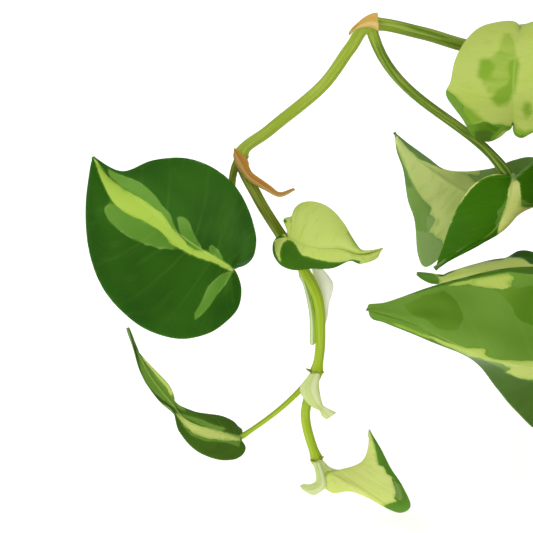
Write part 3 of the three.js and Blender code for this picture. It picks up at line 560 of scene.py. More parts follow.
def blade_part(leaf, rows):
    """place + up (relief +- thickness / 2 sqrt(1 - v^6)), and a keel 0.75 r e^(-(d/0.8r)^2) beneath."""
    across = np.concatenate([-SHARES_ACROSS[:0:-1], SHARES_ACROSS])
    a, w = np.meshgrid(np.linspace(0, 1, rows), across, indexing="ij")
    v, middle = np.abs(w), len(SHARES_ACROSS) - 1
    right = blade_points(leaf, a[:, :middle], v[:, :middle], -1)
    left = blade_points(leaf, a[:, middle:], v[:, middle:], 1)
    places = np.concatenate([right, left], axis=1)
    up = grid_normals(places)
    up[(v == 0) & (a <= VEIN_START)] = rib_frame(leaf, np.zeros(1))[3]
    rib = rib_place(leaf, np.linspace(0, 1, 200))
    near = np.min(np.linalg.norm(places[:, :, None] - rib, axis=-1), axis=-1)
    lift = relief(leaf, a, v, np.sign(w), near)
    half = 0.5 * BLADE_THICKNESS * np.sqrt(1 - v**6)
    along = np.clip((a - VEIN_START) / (1 - VEIN_START), 0, 1)
    thin = leaf["stalk"][1]
    keel = 0.75 * thin * (1 - along) ** 0.7 * np.exp(-((near / (0.8 * thin)) ** 2))
    faces = grid_faces(*a.shape)
    sheets = []
    for height, order, under in ((lift + half, faces[:, ::-1], 0.0), (lift - half - keel, faces, 1.0)):
        fields = {"a": a, "across": w, "near": near, "under": np.full(a.shape, under)}
        fields = {name: value.ravel() for name, value in fields.items()}
        shell = (places + up * height[..., None]).reshape(-1, 3)
        sheets.append({"places": shell, "faces": order, "fields": fields})
    return sheets


print("lines across a blade:", 2 * len(SHARES_ACROSS) - 1)

# %% [markdown]
# ## Stalks and stems
# A stalk and a stem are round and fleshy, with a shallow groove, and a stem swells at its joints. A curve
# object with a round bevel would be a tube too, but without groove, swelling or age. So rings are set along
# the line, each turned as little as possible from the one before it. The number young runs from old to new
# growth and picks the colour.

# %% Tubes
GROOVE_WIDTH = 0.45
STALK_SIDES = 10
STEM_SIDES = 14
STALK_STEPS = 22
STEM_STEPS = 22
AGES = {
    "leaf_01": [0.59, 0.62], "leaf_02": [0.59, 0.62], "leaf_03": [0.8, 0.9], "leaf_04": [0.9, 1],
    "leaf_05": [0.36, -0.3], "leaf_07": [0.17, -0.1],
}
SPURS = [
    [312.5, 372, 9, 306, 368.6, 10], [319, 371.6, 9, 324.2, 372.4, 10],
    [314.5, 460.8, 2, 310.2, 460, 3], [319.5, 458.6, 2, 323.8, 456.6, 3],
]


def tube_part(path, radii, sides, groove=0.0, material=0):
    """Rings of radius r (1 - groove e^(-(q/width)^2)), where q is the angle from the side that faces up."""
    ahead = unit(np.gradient(path, axis=0))
    across = np.cross(ahead[0], [0, 0, 1])
    if np.linalg.norm(across) < 0.1:
        across = np.cross(ahead[0], [0.3, 1, 0.2])
    turn = np.linspace(0, 2 * np.pi, sides, endpoint=False)
    from_top = (turn + np.pi / 2) % (2 * np.pi) - np.pi
    shape = 1 - groove * np.exp(-((from_top / GROOVE_WIDTH) ** 2))
    rings = []
    for centre, way, radius in zip(path, ahead, radii):
        across = unit(across - way * (across @ way))
        spokes = np.cos(turn)[:, None] * across + np.sin(turn)[:, None] * np.cross(across, way)
        rings.append(centre + spokes * (radius * shape)[:, None])
    rings.append(np.repeat(path[-1:] + ahead[-1] * radii[-1] * 0.4, sides, axis=0))
    along = np.cumsum([0, *np.linalg.norm(np.diff(path, axis=0), axis=1), 0])
    fields = {"along": np.repeat(along, sides), "turn": np.tile(from_top, len(rings))}
    faces = grid_faces(len(rings), sides, wrap=True)
    return {"places": np.concatenate(rings), "faces": faces, "fields": fields, "material": material}


def stalk_line(leaf, t):
    """A cubic curve out of the stem and into the blade, along arrive or beneath it at the angle meet."""
    root = np.array(VINES[leaf["vine"]][0][leaf["joint"]], float)
    place, ahead, _, up = rib_frame(leaf, np.zeros(1))
    base, meet = place[0], np.radians(leaf.get("meet", 0))
    arrive = unit(leaf["arrive"]) if "arrive" in leaf else ahead[0] * np.cos(meet) + up[0] * np.sin(meet)
    span = np.linalg.norm(base - root)
    points = [root, root + unit(leaf["leave"]) * span * 0.4, base - arrive * span * 0.35, base]
    return cubic(points, t) - up[0] * (0.6 * leaf["stalk"][1] * t**4)[:, None]


def stalk_part(leaf, material):
    """The radius is mix(r0, r1, t), swollen by 0.35 (1 - t)^6 at the stem and by 0.25 at the blade."""
    t = np.linspace(0, 1, STALK_STEPS)
    swell = 1 + 0.35 * (1 - t) ** 6 + 0.25 * smooth(0.86, 0.97, t) * (1 - smooth(0.97, 1.02, t))
    ends = leaf["stalk"][1] * np.array([0.8, 0.6, 0.35])
    beneath, _, _, up = rib_frame(leaf, np.array([0.04, 0.1, 0.18]))
    path = np.vstack([stalk_line(leaf, t), beneath - up * 1.15 * ends[:, None]])
    radii = np.concatenate([mix(*leaf["stalk"], t) * swell, ends])
    part = tube_part(path, radii, STALK_SIDES, groove=0.22, material=material)
    way = np.minimum(np.arange(len(path) + 1) / (STALK_STEPS - 1), 1)
    part["fields"]["young"] = np.repeat(mix(*AGES.get(leaf["name"], [0.1, 0.5]), way), STALK_SIDES)
    return part


def stem_part(points, joints, radius):
    """The radius is swollen by 0.3 e^(-(d/2.6)^2) + 0.1 e^(-(d/0.7)^2) at a distance d from a joint."""
    last = len(points) - 1
    t = np.linspace(0, last, STEM_STEPS * last + 1)
    path = between_rows(np.arange(last + 1), points, t)
    swell = np.zeros(len(t))
    for joint in joints:
        d = np.linalg.norm(path - points[joint], axis=1)
        swell = np.maximum(swell, 0.3 * np.exp(-((d / 2.6) ** 2)) + 0.1 * np.exp(-((d / 0.7) ** 2)))
    part = tube_part(path, mix(*radius, t / last) * (1 + swell), STEM_SIDES, groove=0.08)
    part["fields"]["joint"] = np.repeat([*swell, swell[-1]], STEM_SIDES)
    part["fields"]["young"] = np.repeat([*(t / last), 1], STEM_SIDES)
    return part


def spur_part(ends, sides=8):
    """A pointed scale between two places in the picture: r = 0.55 (1 - t)^0.6 + 0.15."""
    t = np.linspace(0, 1, 9)
    part = tube_part(mix(*seen(ends), t[:, None]), 0.55 * (1 - t) ** 0.6 + 0.15, sides)
    part["fields"]["joint"] = np.ones(len(part["places"]))
    return part


print("longest vine:", max(len(points) for points, _, _ in VINES.values()), "places")

# %% [markdown]
# ## Sheaths
# A sheath wrapped a leaf before it opened, and stays at the joint until it dries to a brown husk. It could
# be a piece of simulated cloth. A drawn strip is surer here: two edges as columns and rows of pixels, with
# the distance toward the camera at both ends. The strip is rolled about its middle line, with fine ribs and
# a ragged end. In the table, the first word is the slot, and each strip names its own look.

# %% Sheaths
SHEATHS = {
    "sheath_a": ["husk",
        ["husk", [26, 28],
         [234.3, 147.4, 247, 158.6, 249.5, 167, 253, 173, 262, 179.5, 270.7, 185.7, 280, 192, 293.6, 187.9],
         [233.6, 152, 235.7, 164.3, 242.9, 174.3, 248, 180, 256, 185.5, 265, 190.5, 280, 197.2,
          295.4, 190]],
    ],
    "sheath_b": ["husk",
        ["golden husk", [31, 30],
         [377.6, 12.4, 371, 13.6, 363, 18, 356, 24, 351, 29, 348.4, 34],
         [379, 31.5, 373, 28, 366, 27, 358, 28.6, 353.4, 31.4, 349.6, 35.6]],
    ],
    "sheath_c": ["sheath",
        ["green sheath", [11, 15],
         [314.2, 344.6, 317, 338, 316.5, 321, 314, 305, 310, 290, 307, 280, 306, 271.7],
         [311.7, 345.4, 309.7, 341.7, 309.6, 321.7, 307.6, 305, 303.3, 286, 299, 277, 298.3, 271.7]],
        # painted light: this strip's look is whiter than the sheath's own pale colour, lifting it out of the
        # stem's shade
        ["thin sheath", [13, 9],
         [312, 268.9, 313, 277, 315, 286, 317, 296, 319, 306, 320.6, 315, 323.4, 325.4],
         [322.8, 268.9, 328.5, 275.5, 333.4, 284, 332, 294, 329.2, 304, 327.8, 316, 325, 325.4]],
    ],
    "sheath_d": ["sheath",
        ["sheath", [11, 8],
         [310.3, 372.6, 299.8, 388.1, 304.7, 400, 311.7, 406.8, 319, 410.6, 322, 416.5, 326.5, 419.4],
         [320.1, 372.6, 319.2, 385.3, 320.2, 394, 321.6, 400.5, 323.6, 405.6, 329.5, 408.9, 336.7, 412.7]],
    ],
    "sheath_e": ["sheath",
        ["sheath", [3.5, 5],
         [312.6, 461.5, 315.2, 472.4, 315.5, 481, 310, 484, 304, 484, 299.8, 485.5],
         [320, 461.5, 324, 474, 326, 486, 319, 493, 312, 495.2, 302, 489.5]],
    ],
    "sheath_f": ["sheath",
        ["sheath", [3, -0.5],
         [319, 459.5, 323.7, 461, 328.6, 466.1, 337, 469.5, 347, 468.6],
         [314, 463, 316, 474, 322, 486, 332, 492.4, 349, 491]],
    ],
}


def strip_parts(material, toward, one, two, rows=48, columns=25):
    """mix(one, two, (u+1)/2) with u from -1 to 1, plus a bulge of 0.16 width (1 - u^2) toward the camera."""
    s, u = np.meshgrid(np.linspace(0, 1, rows), np.linspace(-1, 1, columns), indexing="ij")
    edges = []
    for edge in (one, two):
        drawn = np.reshape(edge, (-1, 2))
        knots = np.linspace(0, 1, len(drawn))
        edges.append(between_rows(knots, seen(np.column_stack([drawn, mix(*toward, knots)])), s))
    wide = np.linalg.norm(edges[1] - edges[0], axis=-1)
    ruffle = 0.3 * np.sin(15 * s + 2 * u) * np.abs(u) * smooth(0.2, 0.6, s)
    fold = 0.16 * wide * (1 - u**2) + 0.05 * np.cos(7 * np.pi * u) * (1 - u**2) + ruffle
    places = mix(*edges, (u[..., None] + 1) / 2) + TOWARD * fold[..., None]
    thick = 0.5 * SHEATH_THICKNESS * np.sqrt(np.maximum(0, (1 - u**8) * (1 - (2 * s - 1) ** 20)))
    shift = grid_normals(places) * thick[..., None]
    faces, fields = grid_faces(rows, columns), {"a": s.ravel(), "across": u.ravel()}
    return [
        {"places": shell.reshape(-1, 3), "faces": order, "fields": fields, "material": material}
        for shell, order in ((places + shift, faces), (places - shift, faces[:, ::-1]))
    ]


print("sheaths:", len(SHEATHS))

# %% [markdown]
# ## Pot and soil
# A clay pot is thrown on a wheel or pressed in a round mould, so every height has one radius. A Screw or
# Spin would turn a profile too. A formula does it in one step, and gives the wall and the soil the same
# radius. The profile's corners are cut twice, so that they are round. The drain holes are drilled by a
# Boolean, as they cross the grid.

# %% Turned pot
def inner_radius(z):
    """mix(foot radius, rim radius - step, z / height) - wall."""
    return mix(POT_FOOT_RADIUS, POT_RIM_RADIUS - RIM_STEP, z / POT_HEIGHT) - POT_WALL


def rounded(profile, passes=2):
    """Each corner gives way to two points, at 1/4 and 3/4 of the way along the lines that meet there."""
    p = np.asarray(profile, float)
    for _ in range(passes):
        cut = np.stack([mix(p[:-1], p[1:], 0.25), mix(p[:-1], p[1:], 0.75)], axis=1).reshape(-1, 2)
        p = np.vstack([p[:1], cut, p[-1:]])
    return p


def turned_part(profile, sectors):
    """(r cos q, r sin q, z)."""
    q = np.linspace(0, 2 * np.pi, sectors, endpoint=False)
    r, z = profile[:, :1], np.repeat(profile[:, 1:], sectors, axis=1)
    places = np.stack([r * np.cos(q), r * np.sin(q), z], axis=-1).reshape(-1, 3)
    return {"places": places, "faces": grid_faces(len(profile), sectors, wrap=True)}


def pot_profile():
    """(radius, height) from the middle of the underside, up outside, over the rim and down inside."""
    ledge, floor = POT_HEIGHT - RIM_DEPTH, POT_WALL + 1
    foot = np.array([1.6, 6, ledge - 6, ledge])
    mouth = np.array([POT_HEIGHT - 2.5, POT_HEIGHT - 12, 10])
    corners = [
        [POT_FOOT_RADIUS - 12, 0], [POT_FOOT_RADIUS - 1, 0],
        *np.column_stack([inner_radius(foot) + POT_WALL, foot]),
        [POT_RIM_RADIUS - 2.4, ledge + 0.4], [POT_RIM_RADIUS - 0.9, ledge + 3],
        [POT_RIM_RADIUS - 0.1, POT_HEIGHT - 6], [POT_RIM_RADIUS, POT_HEIGHT - 2],
        [POT_RIM_RADIUS - 1.4, POT_HEIGHT], [inner_radius(POT_HEIGHT) + 1.6, POT_HEIGHT],
        *np.column_stack([inner_radius(mouth), mouth]),
        [inner_radius(5) - 4, floor],
    ]
    return np.vstack([[[0, 0], [10, 0]], rounded(corners), [[10, floor], [0, floor]]])


def drill(piece, radius, ring, turns):
    """Upright holes of one radius, at the angles turns on a ring: cylinders taken away from the piece."""
    bits = bmesh.new()
    for turn in turns:
        place = Matrix.Translation((ring * np.cos(turn) * MM, ring * np.sin(turn) * MM, 0))
        size = {"radius1": radius * MM, "radius2": radius * MM, "depth": 4 * POT_WALL * MM}
        bmesh.ops.create_cone(bits, cap_ends=True, segments=32, matrix=place, **size)
    mesh = bpy.data.meshes.new("drill")
    bits.to_mesh(mesh)
    bits.free()
    tool = bpy.data.objects.new("drill", mesh)
    bpy.context.collection.objects.link(tool)
    cut = piece.modifiers.new("holes", "BOOLEAN")
    cut.object, cut.operation, cut.solver = tool, "DIFFERENCE", "EXACT"
    whole = bpy.data.meshes.new_from_object(piece.evaluated_get(bpy.context.evaluated_depsgraph_get()))
    piece.modifiers.clear()
    piece.data = whole
    whole.set_sharp_from_angle(angle=np.radians(50))
    bpy.data.objects.remove(tool)


print("places on the pot's profile:", len(pot_profile()))

# %% [markdown]
# Potting soil is dark and crumbly, with lumps of bark and white grit on it. Ten thousand grains could be
# scattered by geometry nodes. Products of sines give crumbs of three sizes on one surface, and only the
# larger lumps are bodies: icosahedra, twenty-sided, stretched and turned by chance.

# %% Soil and lumps
def soil_height(x, y):
    """The solid model's crumbly top: top + (1 - (d/R)^8)(crumb bump + 2)."""
    top = POT_HEIGHT - SOIL_BELOW_RIM
    inside = 1 - (np.hypot(x, y) / inner_radius(top)) ** 8
    bump = np.sin(0.31 * x + 0.9) * np.cos(0.27 * y - 0.4) + 0.7 * np.sin(0.71 * x - 0.53 * y)
    return top + inside * (SOIL_CRUMB * bump + 2)


def soil_part(rings=90, sectors=220, skirt=12):
    """The top, with three sizes of crumbs as products of sines, and a skirt down the pot's wall."""
    edge = inner_radius(POT_HEIGHT - SOIL_BELOW_RIM) - SOIL_GAP
    turn = np.linspace(0, 2 * np.pi, sectors, endpoint=False)
    r, q = np.meshgrid(np.linspace(0, edge, rings), turn, indexing="ij")
    x, y = r * np.cos(q), r * np.sin(q)
    z = soil_height(x, y)
    for size, depth in ((4.1, 0.55), (1.9, 0.4), (0.95, 0.22)):
        a, b = 2 * np.pi * (x + 0.6 * y) / size / 1.3, 2 * np.pi * (y - 0.5 * x) / size / 1.3
        z += depth * np.sin(a + 1.7 * np.sin(0.61 * b)) * np.sin(b + 1.3 * np.sin(0.73 * a))
    rim = np.stack([x[-1:], y[-1:], z[-1:] - skirt], axis=-1)
    bottom = np.broadcast_to([0, 0, z[0, 0] - skirt], rim.shape)
    places = np.concatenate([np.stack([x, y, z], axis=-1), rim, bottom])
    return {"places": places.reshape(-1, 3), "faces": grid_faces(rings + 2, sectors, wrap=True)}


def lump_part(count, sizes, flatness, sink, material, reach=56):
    """Icosahedra scattered evenly over a disc, r = R sqrt(t), each corner at 1 +- 0.25 of its distance."""
    gold = (1 + 5**0.5) / 2
    signs = np.array([[one, two * gold] for one in (-1, 1) for two in (-1, 1)])
    flat_four = np.insert(signs, 0, 0, axis=1)
    corners = unit(np.concatenate([np.roll(flat_four, turn, axis=1) for turn in range(3)]))
    gap = np.linalg.norm(corners[:, None] - corners[None], axis=-1)
    close = np.triu((gap > 0.1) & (gap < 1.1))
    faces = np.argwhere(close[:, :, None] & close[None] & close[:, None, :])
    p, q, r = corners[faces[:, 0]], corners[faces[:, 1]], corners[faces[:, 2]]
    inward = np.sum(np.cross(q - p, r - p) * p, axis=1) < 0
    faces[inward] = faces[inward][:, ::-1]
    faces = np.column_stack([faces, faces[:, 0]])
    shape = corners * (1 + rng.uniform(-0.25, 0.25, (count, 12, 1)))
    turn, tilt = rng.uniform(0, 2 * np.pi, (count, 1)), rng.normal(0, 0.35, (2, count, 1))
    wide, deep = shape[..., 0], shape[..., 1] * rng.uniform(0.5, 0.9, (count, 1))
    x, y = wide * np.cos(turn) - deep * np.sin(turn), wide * np.sin(turn) + deep * np.cos(turn)
    z = shape[..., 2] * flatness + x * tilt[0] + y * tilt[1]
    away, around = reach * np.sqrt(rng.random((count, 1))), rng.uniform(0, 2 * np.pi, (count, 1))
    size = rng.uniform(*sizes, (count, 1))
    east, north = away * np.cos(around), away * np.sin(around)
    rise = soil_height(east, north) + size * sink
    places = np.stack([x * size + east, y * size + north, z * size + rise], axis=-1).reshape(-1, 3)
    every = (faces + 12 * np.arange(count)[:, None, None]).reshape(-1, 4)
    tone = np.repeat(rng.random(count), 12)
    return {"places": places, "faces": every, "fields": {"tone": tone}, "material": material}


print("height of the soil in the middle:", round(float(soil_height(0, 0)), 1), "mm")

# %% [markdown]
# ## Splashes
# The plant is variegated: each half blade mixes dark green, mid green and cream in sectors that follow the
# veins. An image texture could carry that. Numbers at the places of the mesh are sharper where a splash
# ends, and noise can draw that edge out in the material. A splash is a patch of one tone. Its field is
# positive inside and negative outside, and a leaf keeps three of them: cream or green, mid or dark, deep or
# fresh.

# %% Splash fields
DEEPEST = 0.3
TONES = {
    "green": (-1, -1, -1), "dark": (-1, -1, 1), "mid": (-1, 1, -1), "grey": (-1, 1, 1),
    "cream": (1, -1, -1), "lime": (1, 1, -1), "soft": (1, 0, -1),
}
BLUR = 14


def splash_field(rows, a, v):
    """min(v - low(a), high(a) - v, 2.5 (a - first), 2.5 (last - a))."""
    p = np.asarray(rows, float)
    low, high = np.interp(a, p[:, 0], p[:, 1]), np.interp(a, p[:, 0], p[:, 2])
    return np.minimum(np.minimum(v - low, high - v), 2.5 * np.minimum(a - p[0, 0], p[-1, 0] - a))


def outline_field(outline, places):
    """The distance in the picture from places to an outline drawn there, over BLUR, positive inside it."""
    away = (places - TARGET) @ TOWARD
    scale = MM_PER_PIXEL * (DISTANCE - away) / DISTANCE
    x = MIDDLE_PIXEL + (places - TARGET)[..., 0] / scale
    y = MIDDLE_PIXEL - (places - TARGET) @ UPWARD / scale
    nearest, inside = np.full(x.shape, 1e9), np.zeros(x.shape, bool)
    corners = np.reshape(outline, (-1, 2)).astype(float)
    for (x0, y0), (x1, y1) in zip(corners, np.roll(corners, -1, axis=0)):
        t = np.clip(((x - x0) * (x1 - x0) + (y - y0) * (y1 - y0)) / ((x1 - x0) ** 2 + (y1 - y0) ** 2), 0, 1)
        nearest = np.minimum(nearest, np.hypot(x - x0 - t * (x1 - x0), y - y0 - t * (y1 - y0)))
        if y0 != y1:
            inside ^= ((y0 > y) != (y1 > y)) & (x < x0 + (y - y0) * (x1 - x0) / (y1 - y0))
    return np.where(inside, nearest, -nearest) / BLUR


def tone_fields(leaf, a, across, places):
    """The fields cream, pale and deep, from the leaf's ground tone and its splashes in their order."""
    fields = [np.full(a.shape, value * DEEPEST) for value in TONES[leaf["ground"]]]
    for tone, side, rows in leaf["splashes"]:
        f = outline_field(rows, places) if np.ndim(rows) == 1 else splash_field(rows, a, np.abs(across))
        here = (across * side >= 0) if side else np.full(a.shape, True)
        f = np.where(here, np.clip(f, -DEEPEST, DEEPEST), -DEEPEST)
        for k, value in enumerate(TONES[tone]):
            if value == 0:
                fields[k] = fields[k] * (1 - np.clip(0.5 + f / DEEPEST, 0, 1))
            else:
                fields[k] = np.maximum(fields[k], f) if value > 0 else np.minimum(fields[k], -f)
    return fields


def chance_splashes(number):
    """A ground tone and splashes by chance: a band, a cream half, sectors, or green on cream."""
    draw = np.random.default_rng(1000 + number)
    kind = draw.choice(["band", "half", "sectors", "light"], p=[0.4, 0.25, 0.2, 0.15])
    steps = np.array([0.05, 0.18, 0.27, 0.36, 0.46, 0.56, 0.66, 0.76, 0.86, 1.0])
    splashes = []
    for side in (1, -1):
        width = draw.uniform(0.03, 0.24, len(steps)) * (1.4 if kind == "band" else 0.8)
        reach = width + draw.uniform(0.05, 0.35, len(steps)) * (draw.random(len(steps)) < 0.6)
        if kind == "half" and side > 0:
            width = draw.uniform(0.5, 1.1, len(steps))
            reach = width + 0.2
        splashes.append(["mid", side, [[a, 0, r] for a, r in zip(steps, reach)]])
        splashes.append(["cream", side, [[a, 0, w] for a, w in zip(steps, width)]])
        for _ in range({"sectors": 4, "band": 2, "half": 1, "light": 1}[kind]):
            a = draw.uniform(0.15, 0.8)
            low, high, wide = draw.uniform(0, 0.4), draw.uniform(0.6, 1.1), draw.uniform(0.02, 0.07)
            rows = [[a - wide, low + 0.15, high - 0.2], [a, low, high], [a + wide, low + 0.1, high - 0.3]]
            splashes.append([draw.choice(["mid", "cream"]), side, rows])
    if kind == "light":
        for side in (1, -1):
            splashes = [["cream", side, [[0, 0, draw.uniform(0.7, 1.1)], [1, 0, 1.1]]]] + splashes[1:]
            for _ in range(3):
                a, low = draw.uniform(0.1, 0.85), draw.uniform(0.1, 0.6)
                rows = [[a - 0.06, low + 0.1, low + 0.2], [a, low, low + 0.4]]
                rows.append([a + 0.05, low + 0.1, low + 0.25])
                splashes.append([draw.choice(["mid", "dark"]), side, rows])
    return draw.choice(["dark", "green"]), draw.uniform(0.2, 0.8), splashes


print("tones:", ", ".join(TONES))
